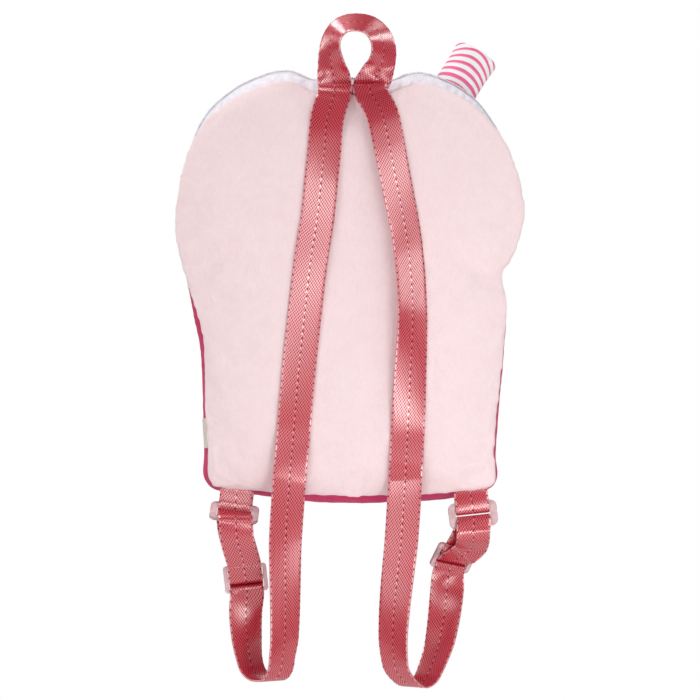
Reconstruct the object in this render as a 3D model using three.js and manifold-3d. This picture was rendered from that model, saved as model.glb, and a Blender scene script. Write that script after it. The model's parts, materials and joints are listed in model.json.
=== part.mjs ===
// A child's small soft backpack, hanging by its top loop and seen from the wearer's side.
// A plump head-shaped top narrows at a neck to a straighter body. The back panel is padded,
// the gusset is narrow at the zip and wide at the bottom, and two webbing shoulder straps
// run from the top seam over the back panel, hang in a loop below the bag and come back up
// through a three-bar slider and a ring on a short anchor tab at each bottom corner.
// Millimetres, +Z up, +X to the wearer's-side right, -Y towards the wearer.
// The origin is the underside of the top loop's near edge, where a hook carries the bag.
import * as THREE from "three";
import { mergeVertices } from "three/addons/utils/BufferGeometryUtils.js";
import Module from "manifold-3d";

const wasm = await Module();
wasm.setup();

// Driving dimensions of the bag
const BAG_WIDTH = 260; // across the widest part of the head
const BAG_HEIGHT = 310; // from the top of the two bumps down to the bottom seam
const BAG_DROP = 34; // from the hook down to the top of the bumps
const SEAM_SETBACK = 10; // the back seam's plane lies this far beyond the hook
const TOP_DEPTH = 30; // gusset width at the zip
const BOTTOM_DEPTH = 62; // gusset width at the bottom
const BACK_CROWN = 16; // bulge of the padded back panel
const FRONT_CROWN = 26; // bulge of the front
const RIM_DEPTH = 3; // a panel turns its rounded edge over this depth
const SEAM_TUCK = 3; // seams lie this far inside the panels' outline
const GUSSET_SWELL = 7; // most that the gusset stands out beyond the outline
const PADDED_WALL = 5; // back panel with its foam
const CLOTH_WALL = 2; // plush gusset and front
const TAPE_WALL = 1; // zip tape
const COIL_WIDTH = 5; // zip teeth, across the tape
const COIL_HEIGHT = 1.8;
const GAP = 0.3; // clearance between pieces that touch

// Driving dimensions of the webbing and its fittings
const WEBBING_WIDTH = 25;
const WEBBING_THICKNESS = 1.3;
const BAR = 3; // square section of the bars in both fittings
const SLOT_PLAY = 1; // slots are this much wider than the webbing
const RING_CHEEK = 5; // plastic beside the ring's slot
const RING_HEIGHT = 19;
const SLIDER_CHEEK = 3;
const SLIDER_HEIGHT = 21;
const TAB_SEWN = 4; // length of webbing caught in a seam
const TAB_HANG = 4; // an anchor tab's loop hangs this far below the ring's bar
const FOLD_RISE = 3.8; // a strap's fold stands this far above the ring's lower bar
const STRAP_EASE = 0.3; // how loosely a strap lies on the back panel
const LOOP_DROP = 138; // the strap loops hang this far below the bag
const LOOP_FRONT = 29; // the strap's front run hangs this far out from the back seam
const LOOP_REAR = 5; // and its rear run this far out
const HANDLE_HEIGHT = 50; // loop centreline above the top seam
const HANDLE_REACH = 52; // widest part of the loop's centreline
const EAR_RADIUS = 17.5;
const EAR_LENGTH = 47.5; // from inside the seam to the tip
const LABEL_WIDTH = 22;
const LABEL_REACH = 13;
const LABEL_THICKNESS = 1;

const PALE_PINK = 0xfde2e6;
const HOT_PINK = 0xd2406c;
const STRAP_RED = 0xcf4a5c;
const ZIP_LILAC = 0xe3deea;
const CLEAR_PLASTIC = 0xf1d9d8;
const LABEL_CREAM = 0xe9dfd6;

// Back panel outline, clockwise from the dip between the bumps as the wearer's side is seen.
// across: share of half the bag's width. down: share of the bag's height.
const OUTLINE = [
  { across: 0.0, down: 0.031 },
  { across: 0.215, down: 0.027 },
  { across: 0.36, down: 0.004 },
  { across: 0.565, down: 0.027 },
  { across: 0.735, down: 0.073 },
  { across: 0.899, down: 0.163 },
  { across: 0.992, down: 0.308 },
  { across: 0.965, down: 0.374 },
  { across: 0.911, down: 0.436 },
  { across: 0.865, down: 0.463 },
  { across: 0.868, down: 0.49 },
  { across: 0.888, down: 0.535 },
  { across: 0.848, down: 0.73 },
  { across: 0.812, down: 0.896 },
  { across: 0.828, down: 0.946 },
  { across: 0.803, down: 0.977 },
  { across: 0.668, down: 0.988 },
  { across: 0.0, down: 1.0 },
  { across: -0.634, down: 0.985 },
  { across: -0.786, down: 0.977 },
  { across: -0.828, down: 0.951 },
  { across: -0.826, down: 0.889 },
  { across: -0.843, down: 0.789 },
  { across: -0.854, down: 0.618 },
  { across: -0.894, down: 0.557 },
  { across: -0.978, down: 0.441 },
  { across: -1.015, down: 0.358 },
  { across: -1.001, down: 0.282 },
  { across: -0.938, down: 0.168 },
  { across: -0.815, down: 0.085 },
  { across: -0.599, down: 0.027 },
  { across: -0.368, down: 0.0 },
  { across: -0.215, down: 0.027 },
];

// How far the gusset stands out past the outline on each side, as shares of GUSSET_SWELL.
const SWELL = [
  { down: 0.0, left: 0.9, right: 0.9 },
  { down: 0.03, left: 0.8, right: 0.7 },
  { down: 0.06, left: 0.45, right: 0.4 },
  { down: 0.09, left: 0.2, right: 0.05 },
  { down: 0.13, left: -0.15, right: -0.25 },
  { down: 0.17, left: -0.45, right: -0.45 },
  { down: 0.22, left: -0.7, right: -0.65 },
  { down: 0.3, left: -0.85, right: -0.8 },
  { down: 0.42, left: -0.6, right: -0.6 },
  { down: 0.5, left: -0.1, right: -0.3 },
  { down: 0.57, left: 0.4, right: 0.0 },
  { down: 0.63, left: 0.45, right: 0.05 },
  { down: 0.72, left: 0.2, right: 0.1 },
  { down: 0.85, left: 0.35, right: 0.25 },
  { down: 0.95, left: 0.5, right: 0.2 },
  { down: 0.982, left: 0.2, right: 0.05 },
  { down: 0.99, left: 0.5, right: 0.5 },
  { down: 1.0, left: 0.8, right: 0.8 },
];
const DIP_SWELL = 0.75; // more of it where the zip bridges the dip between the bumps
const DIP_REACH = 30; // half the width of that dip

// Dents and creases in the back panel. reach_x, reach_z: shares of the bag's half width and
// height. depth: share of the crown. tilt: degrees of the crease's long side from upright.
const DENTS = [
  { across: 0.0, down: 0.06, reach_x: 0.24, reach_z: 0.05, tilt: 0, depth: 0.16 },
  { across: 0.84, down: 0.47, reach_x: 0.16, reach_z: 0.018, tilt: 24, depth: 0.3 },
  { across: -0.9, down: 0.53, reach_x: 0.2, reach_z: 0.03, tilt: -28, depth: 0.18 },
  { across: -0.66, down: 0.96, reach_x: 0.16, reach_z: 0.04, tilt: 0, depth: 0.16 },
  { across: 0.68, down: 0.96, reach_x: 0.16, reach_z: 0.04, tilt: 0, depth: 0.16 },
];

const ZIP_END = 0.28; // share of the height at which the zip stops
const NECK = 0.5; // share of the height at which the head meets the body
const STEPS_PER_POINT = 2;
const RIM_STEPS = OUTLINE.length * STEPS_PER_POINT;
const PANEL_RINGS = [0.3, 0.55, 0.74, 0.87, 0.95, 0.985]; // shares of the way to the rim
const INNER_RINGS = [0.93, 0.84, 0.65, 0.4];
const UP = new THREE.Vector3(0, 0, 1);
const AWAY = new THREE.Vector3(0, 1, 0);

const halfWidth = BAG_WIDTH / 2;
const bottomZ = -(BAG_DROP + BAG_HEIGHT);
const middle = new THREE.Vector3(0, 0, -(BAG_DROP + BAG_HEIGHT / 2));
const levelZ = (down) => -(BAG_DROP + down * BAG_HEIGHT);
const downOf = (z) => (-z - BAG_DROP) / BAG_HEIGHT;

const outline = new THREE.CatmullRomCurve3(
  OUTLINE.map((p) => new THREE.Vector3(p.across * halfWidth, 0, levelZ(p.down))),
  true,
  "centripetal",
);

// A value from a table whose rows rise in the column named key.
function lookUp(table, key, column, at) {
  if (at <= table[0][key]) return table[0][column];
  for (let i = 1; i < table.length; i++) {
    const [low, high] = [table[i - 1], table[i]];
    if (at <= high[key]) {
      const share = (at - low[key]) / (high[key] - low[key]);
      return low[column] + share * (high[column] - low[column]);
    }
  }
  return table[table.length - 1][column];
}

// The outline's place and outward direction at u, from 0 to 1 clockwise.
function rimAt(u) {
  const turn = ((u % 1) + 1) % 1;
  const place = outline.getPoint(turn);
  const along = outline.getTangent(turn);
  return { place, outward: new THREE.Vector3(-along.z, 0, along.x) };
}

const rim = Array.from({ length: RIM_STEPS }, (_, i) => rimAt(i / RIM_STEPS));

// u on the right (side 1) or left (side -1) of the outline at a height share.
function rimShareAt(down, side) {
  const scan = 400;
  let best = 0;
  let miss = Infinity;
  for (let i = 0; i < scan; i++) {
    const { place } = rimAt(i / scan);
    const away = Math.abs(place.z - levelZ(down));
    if (Math.sign(place.x) === side && away < miss) [best, miss] = [i / scan, away];
  }
  return best;
}

// Height of the outline's bottom edge at x.
function bottomEdgeZ(x) {
  const scan = 600;
  const low = Array.from({ length: scan }, (_, i) => rimAt(i / scan).place).filter(
    (p) => downOf(p.z) > NECK,
  );
  return low.reduce((a, b) => (Math.abs(b.x - x) < Math.abs(a.x - x) ? b : a)).z;
}

const gussetDepth = (z) =>
  THREE.MathUtils.lerp(TOP_DEPTH, BOTTOM_DEPTH, THREE.MathUtils.clamp(downOf(z), 0, 1));

// A pillow's height from its rim at t 1 to its crown at t 0.
const pillow = (t) => Math.sqrt(Math.max(0, 1 - t ** 4));

// Share of the way from the panel's middle to the outline at a point.
function shareOut(x, z) {
  const from = new THREE.Vector3(x, 0, z).sub(middle);
  const angle = Math.atan2(from.x, from.z);
  let best = rim[0].place;
  let miss = Infinity;
  for (let i = 0; i < RIM_STEPS * 4; i++) {
    const { place } = rimAt(i / (RIM_STEPS * 4));
    const way = Math.atan2(place.x, place.z - middle.z);
    const off = Math.abs(Math.atan2(Math.sin(way - angle), Math.cos(way - angle)));
    if (off < miss) [best, miss] = [place, off];
  }
  return from.length() / best.clone().sub(middle).length();
}

// Depth of the back panel's dents at a point.
function dentDepth(x, z) {
  return DENTS.reduce((sum, d) => {
    const tilt = THREE.MathUtils.degToRad(d.tilt);
    const dx = x - d.across * halfWidth;
    const dz = z - levelZ(d.down);
    const along = (dx * Math.cos(tilt) + dz * Math.sin(tilt)) / (d.reach_x * halfWidth);
    const over = (-dx * Math.sin(tilt) + dz * Math.cos(tilt)) / (d.reach_z * BAG_HEIGHT);
    return sum + d.depth * BACK_CROWN * Math.exp(-(along ** 2) - over ** 2);
  }, 0);
}

// The back panel's outer face: its distance from the hook's plane, towards the wearer.
function backFaceY(x, z, t = shareOut(x, z)) {
  const crown = Math.max(0, BACK_CROWN * pillow(t) - dentDepth(x, z));
  return SEAM_SETBACK - RIM_DEPTH - crown;
}

const frontSeamY = (z) => SEAM_SETBACK + gussetDepth(z);
const frontFaceY = (z, t) => frontSeamY(z) + RIM_DEPTH + FRONT_CROWN * pillow(t);

// A BufferGeometry from vertices and triangles, turned to face outwards.
function closedGeometry(vertices, triangles) {
  const edge = (a, b) => vertices[b].clone().sub(vertices[a]);
  const volume = triangles.reduce(
    (sum, [a, b, c]) => sum + vertices[a].dot(edge(a, b).cross(edge(a, c))),
    0,
  );
  const facing = volume < 0 ? triangles.map(([a, b, c]) => [a, c, b]) : triangles;
  const geometry = new THREE.BufferGeometry().setFromPoints(vertices);
  geometry.setIndex(facing.flat());
  return geometry;
}

// A closed body from rings of equal count, with a point in the middle of each end.
function bodyFromRings(rings, first, last) {
  const count = rings[0].length;
  const vertices = [first, ...rings.flat(), last];
  const at = (ring, i) => 1 + ring * count + (i % count);
  const triangles = [];
  for (let i = 0; i < count; i++) {
    triangles.push([0, at(0, i), at(0, i + 1)]);
    for (let r = 0; r + 1 < rings.length; r++) {
      triangles.push([at(r, i), at(r + 1, i), at(r + 1, i + 1)]);
      triangles.push([at(r, i), at(r + 1, i + 1), at(r, i + 1)]);
    }
    const end = rings.length - 1;
    triangles.push([vertices.length - 1, at(end, i + 1), at(end, i)]);
  }
  return closedGeometry(vertices, triangles);
}

// A wall between two grids of points, outer[i][j] and inner[i][j], closed all round.
function wallBetween(outer, inner) {
  const [rows, columns] = [outer.length, outer[0].length];
  const vertices = [...outer.flat(), ...inner.flat()];
  const out = (i, j) => i * columns + j;
  const into = (i, j) => rows * columns + i * columns + j;
  const triangles = [];
  const quad = (a, b, c, d) => triangles.push([a, b, c], [a, c, d]);
  for (let i = 0; i + 1 < rows; i++) {
    for (let j = 0; j + 1 < columns; j++) {
      quad(out(i, j), out(i, j + 1), out(i + 1, j + 1), out(i + 1, j));
      quad(into(i, j), into(i + 1, j), into(i + 1, j + 1), into(i, j + 1));
    }
    quad(out(i, 0), out(i + 1, 0), into(i + 1, 0), into(i, 0));
    const j = columns - 1;
    quad(out(i, j), into(i, j), into(i + 1, j), out(i + 1, j));
  }
  for (let j = 0; j + 1 < columns; j++) {
    quad(out(0, j), into(0, j), into(0, j + 1), out(0, j + 1));
    const i = rows - 1;
    quad(out(i, j), out(i, j + 1), into(i, j + 1), into(i, j));
  }
  return closedGeometry(vertices, triangles);
}

// Booleans on closed geometries.
function solidOf(geometry) {
  const bare = geometry.index ? geometry.toNonIndexed() : geometry.clone();
  for (const name of Object.keys(bare.attributes)) {
    if (name !== "position") bare.deleteAttribute(name);
  }
  const merged = mergeVertices(bare, 1e-4);
  return new wasm.Manifold(
    new wasm.Mesh({
      numProp: 3,
      vertProperties: merged.attributes.position.array,
      triVerts: new Uint32Array(merged.index.array),
    }),
  );
}

function geometryOf(solid) {
  const mesh = solid.getMesh();
  const geometry = new THREE.BufferGeometry();
  const places = new THREE.BufferAttribute(Float32Array.from(mesh.vertProperties), 3);
  geometry.setAttribute("position", places);
  geometry.setIndex(Array.from(mesh.triVerts));
  return geometry;
}

const cutBy = (geometry, ...cutters) =>
  geometryOf(cutters.reduce((left, cutter) => left.subtract(solidOf(cutter)), solidOf(geometry)));

// A named mesh with its finish.
function piece(name, geometry, color, roughness = 0.9, metalness = 0) {
  const flat = geometry.index ? geometry.toNonIndexed() : geometry;
  flat.computeVertexNormals();
  const mesh = new THREE.Mesh(
    flat,
    new THREE.MeshStandardMaterial({ color, roughness, metalness }),
  );
  mesh.name = name;
  return mesh;
}

// One ring of a panel: the outline set in by inset, then drawn t of the way from the middle.
function panelRing(t, inset, faceY) {
  return rim.map(({ place, outward }) => {
    const edge = place.clone().addScaledVector(outward, -inset);
    const point = middle.clone().lerp(edge, t);
    point.y = faceY(point.x, point.z, place.z);
    return point;
  });
}

const seamInset = SEAM_TUCK + PADDED_WALL;

function backPanelGeometry() {
  const outer = PANEL_RINGS.map((t) => panelRing(t, 0, (x, z) => backFaceY(x, z, t)));
  const edge = panelRing(1, 0, () => SEAM_SETBACK - RIM_DEPTH);
  const seam = panelRing(1, SEAM_TUCK, () => SEAM_SETBACK);
  const allowance = panelRing(1, seamInset, () => SEAM_SETBACK);
  const inner = INNER_RINGS.map((t) =>
    panelRing(t, 0, (x, z) =>
      Math.min(SEAM_SETBACK - GAP, backFaceY(x, z, t) + PADDED_WALL),
    ),
  );
  const crest = middle.clone().setY(backFaceY(middle.x, middle.z, 0));
  const hollow = crest.clone().setY(crest.y + PADDED_WALL);
  return bodyFromRings([...outer, edge, seam, allowance, ...inner], crest, hollow);
}

function frontPanelGeometry() {
  const outer = PANEL_RINGS.map((t) => panelRing(t, GAP, (x, z) => frontFaceY(z, t)));
  const edge = panelRing(1, GAP, (x, z, rimZ) => frontSeamY(rimZ) + RIM_DEPTH);
  const seam = panelRing(1, SEAM_TUCK, (x, z, rimZ) => frontSeamY(rimZ));
  const allowance = panelRing(1, SEAM_TUCK + 2 * CLOTH_WALL, (x, z, rimZ) => frontSeamY(rimZ));
  const inner = INNER_RINGS.map((t) =>
    panelRing(t, 0, (x, z) => frontFaceY(z, t) - CLOTH_WALL),
  );
  const crest = middle.clone().setY(frontFaceY(middle.z, 0));
  const hollow = crest.clone().setY(crest.y - CLOTH_WALL);
  return bodyFromRings([...outer, edge, seam, allowance, ...inner], crest, hollow);
}

// A place on the gusset's outer face at u round the outline and f from back to front seam.
function gussetPoint(u, f, lift = 0) {
  const { place, outward } = rimAt(u);
  const own = lookUp(SWELL, "down", place.x < 0 ? "left" : "right", downOf(place.z));
  const inDip = downOf(place.z) < NECK ? Math.exp(-((place.x / DIP_REACH) ** 4)) : 0;
  const swell = (own + DIP_SWELL * inDip) * GUSSET_SWELL;
  const rise = (swell + SEAM_TUCK) * Math.sin(Math.PI * f) ** 0.8 - SEAM_TUCK;
  const back = SEAM_SETBACK + GAP;
  const front = frontSeamY(place.z) - GAP;
  const point = place.clone().addScaledVector(outward, rise + lift);
  point.y = THREE.MathUtils.lerp(back, front, f);
  return point;
}

// A stretch of the gusset from u0 to u1, between f0 and f1 of its width.
function gussetWall(u0, u1, steps, f0, f1, columns, wall, lift = 0) {
  const grid = (raise) =>
    Array.from({ length: steps + 1 }, (_, i) =>
      Array.from({ length: columns + 1 }, (_, j) =>
        gussetPoint(
          THREE.MathUtils.lerp(u0, u1, i / steps),
          THREE.MathUtils.lerp(f0, f1, j / columns),
          raise,
        ),
      ),
    );
  return wallBetween(grid(lift), grid(lift - wall));
}

const zipRight = rimShareAt(ZIP_END, 1);
const zipLeft = rimShareAt(ZIP_END, -1) - 1;
const neckRight = rimShareAt(NECK, 1);
const neckLeft = rimShareAt(NECK, -1);
const seamStep = 0.0006; // share of the outline left between stretches of the gusset

// A fitting's frame from its width direction and its upward direction.
function frameFrom(place, across, up) {
  const upward = up.clone().addScaledVector(across, -up.dot(across)).normalize();
  const away = upward.clone().cross(across);
  const matrix = new THREE.Matrix4().makeBasis(across, away, upward).setPosition(place);
  return { across, matrix };
}

// roll lifts the fitting's right end, pitch leans its top away from the wearer, and yaw
// turns its right end away.
function fittingFrame(place, { roll, pitch, yaw }) {
  const [r, p, w] = [roll, pitch, yaw].map(THREE.MathUtils.degToRad);
  const across = new THREE.Vector3(Math.cos(r) * Math.cos(w), Math.sin(w), Math.sin(r));
  const up = new THREE.Vector3(-Math.sin(r), 0, Math.cos(r)).multiplyScalar(Math.cos(p));
  return frameFrom(place, across.normalize(), up.addScaledVector(AWAY, Math.sin(p)));
}

const inFrame = (frame, depth, height) =>
  new THREE.Vector3(0, depth, height).applyMatrix4(frame.matrix);

const ringPitch = (RING_HEIGHT - BAR) / 2; // ring bars' distance from its centre
const sliderPitch = (SLIDER_HEIGHT - BAR) / 2;
const wrapRadius = (BAR / 2) * Math.SQRT2 + GAP + WEBBING_THICKNESS / 2;
const barFace = BAR / 2 + GAP + WEBBING_THICKNESS / 2;
const sewnOffset = GAP / 2 + WEBBING_THICKNESS / 2; // each of two layers lies this far off the seam

// The two sides differ as the straps hang. ring_*, slider_*: places in shares of half the
// bag's width, and of the loops' drop below the bottom seam. out: share of LOOP_FRONT.
// bow: how the doubled end stands off the line between its fittings. leaves, middle: sideways,
// shares of half the bag's width. out: share of LOOP_FRONT. skew: how far it slides along the
// slider as it comes in, share of its width. rear: sideways shift of the run behind it.
const SIDES = {
  left: {
    side: -1,
    ring: { across: -0.668, drop: 0.077, roll: -7, pitch: 54, yaw: 0 },
    slider: { across: -0.604, drop: 0.428, out: 0.12, roll: 6, pitch: -8, yaw: 0 },
    bow: { leaves: 0.014, middle: -0.012, out: 0.14, skew: 0, rear: 0.015 },
    // Over the back panel. stand_off: clearance over the panel, share of the crown.
    run: [
      { across: -0.1, down: 0.037, turn: 0, stand_off: 0.02 },
      { across: -0.141, down: 0.1, turn: 0, stand_off: 0.02 },
      { across: -0.156, down: 0.173, turn: 0, stand_off: 0.05 },
      { across: -0.173, down: 0.244, turn: -3, stand_off: 0.08 },
      { across: -0.195, down: 0.334, turn: -5, stand_off: 0.1 },
      { across: -0.228, down: 0.42, turn: -5, stand_off: 0.1 },
      { across: -0.266, down: 0.557, turn: 0, stand_off: 0.08 },
      { across: -0.302, down: 0.7, turn: 2, stand_off: 0.05 },
      { across: -0.33, down: 0.84, turn: 3, stand_off: 0.04 },
      { across: -0.355, down: 0.96, turn: 8, stand_off: 0.32 },
    ],
    // Below the bag. drop: share of the loops' drop. out: share of LOOP_FRONT.
    fall: [
      { across: -0.376, drop: 0.22, turn: 18, out: 0.86 },
      { across: -0.377, drop: 0.49, turn: 28, out: 0.95 },
      { across: -0.381, drop: 0.74, turn: 36, out: 1.0 },
    ],
    bottom: { from: -0.394, to: -0.584, turn: 43, drop: 0.962, sag: 2, sweep: 170 },
    rise: [
      { across: -0.597, drop: 0.76, turn: 31, out: 0.15 },
      { across: -0.604, drop: 0.6, turn: 12, out: 0.13 },
    ],
  },
  right: {
    side: 1,
    ring: { across: 0.688, drop: 0.087, roll: 6, pitch: 8, yaw: 4 },
    slider: { across: 0.58, drop: 0.325, out: -0.58, roll: -12, pitch: -30, yaw: 24 },
    bow: { leaves: -0.013, middle: 0.008, out: 0.16, skew: 0.24, rear: -0.034 },
    run: [
      { across: 0.108, down: 0.037, turn: 0, stand_off: 0.05 },
      { across: 0.168, down: 0.085, turn: 8, stand_off: 0.06 },
      { across: 0.208, down: 0.16, turn: 20, stand_off: 0.04 },
      { across: 0.246, down: 0.244, turn: 24, stand_off: 0.04 },
      { across: 0.29, down: 0.339, turn: 26, stand_off: 0.04 },
      { across: 0.319, down: 0.42, turn: 31, stand_off: 0.04 },
      { across: 0.34, down: 0.555, turn: 32, stand_off: 0.04 },
      { across: 0.326, down: 0.718, turn: 16, stand_off: 0.04 },
      { across: 0.314, down: 0.84, turn: 2, stand_off: 0.06 },
      { across: 0.3, down: 0.96, turn: -4, stand_off: 0.32 },
    ],
    fall: [
      { across: 0.278, drop: 0.22, turn: -10, out: 0.86 },
      { across: 0.248, drop: 0.49, turn: -22, out: 0.95 },
      { across: 0.231, drop: 0.74, turn: -34, out: 1.0 },
    ],
    bottom: { from: 0.242, to: 0.45, turn: -42, drop: 1.0, sag: -3.5, sweep: 155 },
    rise: [
      { across: 0.5, drop: 0.77, turn: -31, out: -0.1 },
      { across: 0.542, drop: 0.51, turn: -2, out: -0.5 },
    ],
  },
};

// Places of the webbing in a three-bar slider, for webbing that rises in front of the lower
// bar, behind the wrapped middle bar and in front of the upper bar.
// depth: share of the bar face distance, away from the wearer. height: share of the pitch.
const SLIDER_PASS = [
  { depth: -1.05, height: -1.25 },
  { depth: -1.06, height: -0.89 },
  { depth: -0.94, height: -0.756 },
  { depth: -0.49, height: -0.656 },
  { depth: 0.33, height: -0.589 },
  { depth: 1.22, height: -0.467 },
  { depth: 1.88, height: -0.244 },
  { depth: 2.02, height: 0 },
  { depth: 1.88, height: 0.244 },
  { depth: 1.22, height: 0.467 },
  { depth: 0.33, height: 0.589 },
  { depth: -0.49, height: 0.656 },
  { depth: -0.94, height: 0.756 },
  { depth: -1.06, height: 0.89 },
  { depth: -1.05, height: 1.25 },
];

// The strap's sewn end: down to the middle bar, then after its wrap up to the stitching.
const END_DOWN = [
  { depth: -2.4, height: 1.4 },
  { depth: -2.35, height: 0.89 },
  { depth: -2.16, height: 0.67 },
  { depth: -1.8, height: 0.44 },
  { depth: -1.43, height: 0.22 },
];
const END_UP = [
  { depth: 1.18, height: 0.144 },
  { depth: 0.9, height: 0.267 },
  { depth: 0.37, height: 0.356 },
  { depth: -0.33, height: 0.4 },
  { depth: -0.98, height: 0.489 },
  { depth: -1.47, height: 0.667 },
  { depth: -1.69, height: 0.89 },
  { depth: -1.72, height: 1.4 },
];

// Half a turn round a bar, as places in the fitting's frame.
function halfWrap(height, from, to, steps = 6) {
  return Array.from({ length: steps + 1 }, (_, i) => {
    const angle = THREE.MathUtils.degToRad(THREE.MathUtils.lerp(from, to, i / steps));
    return { depth: wrapRadius * Math.cos(angle), height: height + wrapRadius * Math.sin(angle) };
  });
}

const turned = (degrees) => {
  const angle = THREE.MathUtils.degToRad(degrees);
  return new THREE.Vector3(Math.cos(angle), Math.sin(angle), 0);
};

// A flat band through keys of { at, across, steps }, steps being its divisions to the next key.
function band(keys, width = WEBBING_WIDTH, thickness = WEBBING_THICKNESS) {
  const curve = new THREE.CatmullRomCurve3(
    keys.map((k) => k.at),
    false,
    "centripetal",
  );
  const shares = keys.flatMap((key, i) => {
    if (i + 1 === keys.length) return [[i, 0]];
    const steps = key.steps ?? 1;
    return Array.from({ length: steps }, (_, s) => [i, s / steps]);
  });
  const stations = shares.map(([i, f]) => {
    const t = Math.min(1, (i + f) / (keys.length - 1));
    const next = keys[Math.min(i + 1, keys.length - 1)];
    const tangent = curve.getTangent(t);
    const across = keys[i].across.clone().lerp(next.across, f);
    across.addScaledVector(tangent, -across.dot(tangent)).normalize();
    return { at: curve.getPoint(t), across, normal: across.clone().cross(tangent).normalize() };
  });
  const face = (side) =>
    stations.map(({ at, across, normal }) =>
      [-0.5, 0.5].map((edge) =>
        at
          .clone()
          .addScaledVector(across, edge * width)
          .addScaledVector(normal, (side * thickness) / 2),
      ),
    );
  return wallBetween(face(1), face(-1));
}

const seamTopZ = rimAt(0).place.z;
const foldX = WEBBING_WIDTH / 2 + GAP / 2; // the two straps lie side by side at the top seam
const clearOfPanel = GAP + WEBBING_THICKNESS / 2;
const RUN_STEPS = 3; // divisions between two rows of a strap's run

// A hanging place: across and drop as shares, and y from the table's out share.
function hanging(k, y = SEAM_SETBACK - k.out * LOOP_FRONT) {
  return new THREE.Vector3(k.across * halfWidth, y, bottomZ - k.drop * LOOP_DROP);
}

function fittingPlaces({ ring, slider }) {
  const lean = ringPitch * Math.sin(THREE.MathUtils.degToRad(ring.pitch));
  return {
    ring: fittingFrame(hanging(ring, SEAM_SETBACK - lean), ring),
    slider: fittingFrame(hanging(slider), slider),
  };
}

// The strap's run over the back panel, resting on it across the whole width of the webbing.
function runKeys(run) {
  const route = new THREE.CatmullRomCurve3(
    run.map((k) => new THREE.Vector3(k.across * halfWidth, 0, levelZ(k.down))),
    false,
    "centripetal",
  );
  const count = (run.length - 1) * RUN_STEPS;
  return Array.from({ length: count + 1 }, (_, i) => {
    const share = i / RUN_STEPS;
    const low = run[Math.min(Math.floor(share), run.length - 2)];
    const high = run[Math.min(Math.floor(share), run.length - 2) + 1];
    const part = share - run.indexOf(low);
    const across = turned(THREE.MathUtils.lerp(low.turn, high.turn, part));
    const standOff = THREE.MathUtils.lerp(low.stand_off, high.stand_off, part) * BACK_CROWN;
    const at = route.getPoint(i / count);
    const rests = [-0.5, -0.25, 0, 0.25, 0.5].map((s) => {
      const edge = across.clone().multiplyScalar(s * WEBBING_WIDTH);
      return backFaceY(at.x + edge.x, at.z) - edge.y;
    });
    at.y = Math.min(...rests) - clearOfPanel - STRAP_EASE - standOff;
    return { at, across };
  });
}

function strapKeys(side) {
  const { ring, slider } = fittingPlaces(side);
  const flat = turned(0);
  const x = side.side * foldX;
  const sewnY = SEAM_SETBACK - sewnOffset;
  const top = seamTopZ + WEBBING_THICKNESS + 4 * GAP;
  const fold = SEAM_TUCK + WEBBING_THICKNESS / 2;
  const keys = [
    { at: new THREE.Vector3(x, sewnY, seamTopZ - TAB_SEWN), across: flat },
    { at: new THREE.Vector3(x, sewnY, seamTopZ), across: flat },
    { at: new THREE.Vector3(x, sewnY - fold * 0.3, top + WEBBING_THICKNESS), across: flat },
    { at: new THREE.Vector3(x, sewnY - fold, top + 2 * WEBBING_THICKNESS), across: flat },
    { at: new THREE.Vector3(x, sewnY - fold * 1.7, top + WEBBING_THICKNESS), across: flat },
  ];
  keys.push(...runKeys(side.run));
  const loose = (k) => ({ at: hanging(k), across: turned(k.turn), steps: 2 });
  keys.push(...side.fall.map(loose));
  const from = new THREE.Vector2(side.bottom.from * halfWidth, SEAM_SETBACK - LOOP_FRONT);
  const to = new THREE.Vector2(side.bottom.to * halfWidth, SEAM_SETBACK - LOOP_REAR);
  const radius = from.distanceTo(to) / 2;
  const steps = 8;
  for (let i = 0; i <= steps; i++) {
    const angle = THREE.MathUtils.degToRad((side.bottom.sweep * i) / steps);
    const way = from.clone().lerp(to, (1 - Math.cos(angle)) / 2);
    const sag = side.bottom.sag * Math.max(0, Math.sin(2 * angle));
    const z = bottomZ - side.bottom.drop * LOOP_DROP + radius * (1 - Math.sin(angle)) - sag;
    keys.push({ at: new THREE.Vector3(way.x, way.y, z), across: turned(side.bottom.turn) });
  }
  keys.at(-1).steps = 3;
  keys.push(...side.rise.map(loose));
  const inSlider = (p) => ({
    at: inFrame(slider, p.depth * barFace, p.height * sliderPitch),
    across: slider.across,
  });
  keys.push(...SLIDER_PASS.map(inSlider));
  const inRing = (p) => ({ at: inFrame(ring, p.depth, p.height), across: ring.across });
  const enters = inRing({ depth: 1.6 * wrapRadius, height: -ringPitch - 1.9 * BAR });
  enters.at.x += side.bow.rear * halfWidth;
  const slack = keys.at(-1).at.clone().lerp(enters.at, 0.5);
  keys.at(-1).steps = 2;
  keys.push({ at: slack, across: slider.across.clone().lerp(ring.across, 0.5), steps: 2 }, enters);
  keys.push(...halfWrap(FOLD_RISE - ringPitch, 0, 180).map(inRing));
  const leaves = inRing({ depth: -1.55 * wrapRadius, height: -ringPitch - 1.5 * BAR });
  leaves.at.x += side.bow.leaves * halfWidth;
  const down = END_DOWN.map((p) => {
    const place = inSlider(p);
    const slide = side.bow.skew * (p.height / END_DOWN[0].height) ** 1.5;
    place.at.addScaledVector(slider.across, slide * WEBBING_WIDTH);
    return place;
  });
  const middle = leaves.at.clone().lerp(down[0].at, 0.45);
  middle.x += side.bow.middle * halfWidth;
  middle.y -= side.bow.out * LOOP_FRONT;
  const between = ring.across.clone().lerp(slider.across, 0.3).normalize();
  keys.push({ ...leaves, steps: 2 }, { at: middle, across: between, steps: 3 }, ...down);
  const wrapMiddle = halfWrap(0, 180, 360).map((p) => ({
    at: inFrame(slider, p.depth, p.height),
    across: slider.across,
  }));
  keys.push(...wrapMiddle, ...END_UP.map(inSlider));
  return keys;
}

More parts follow.
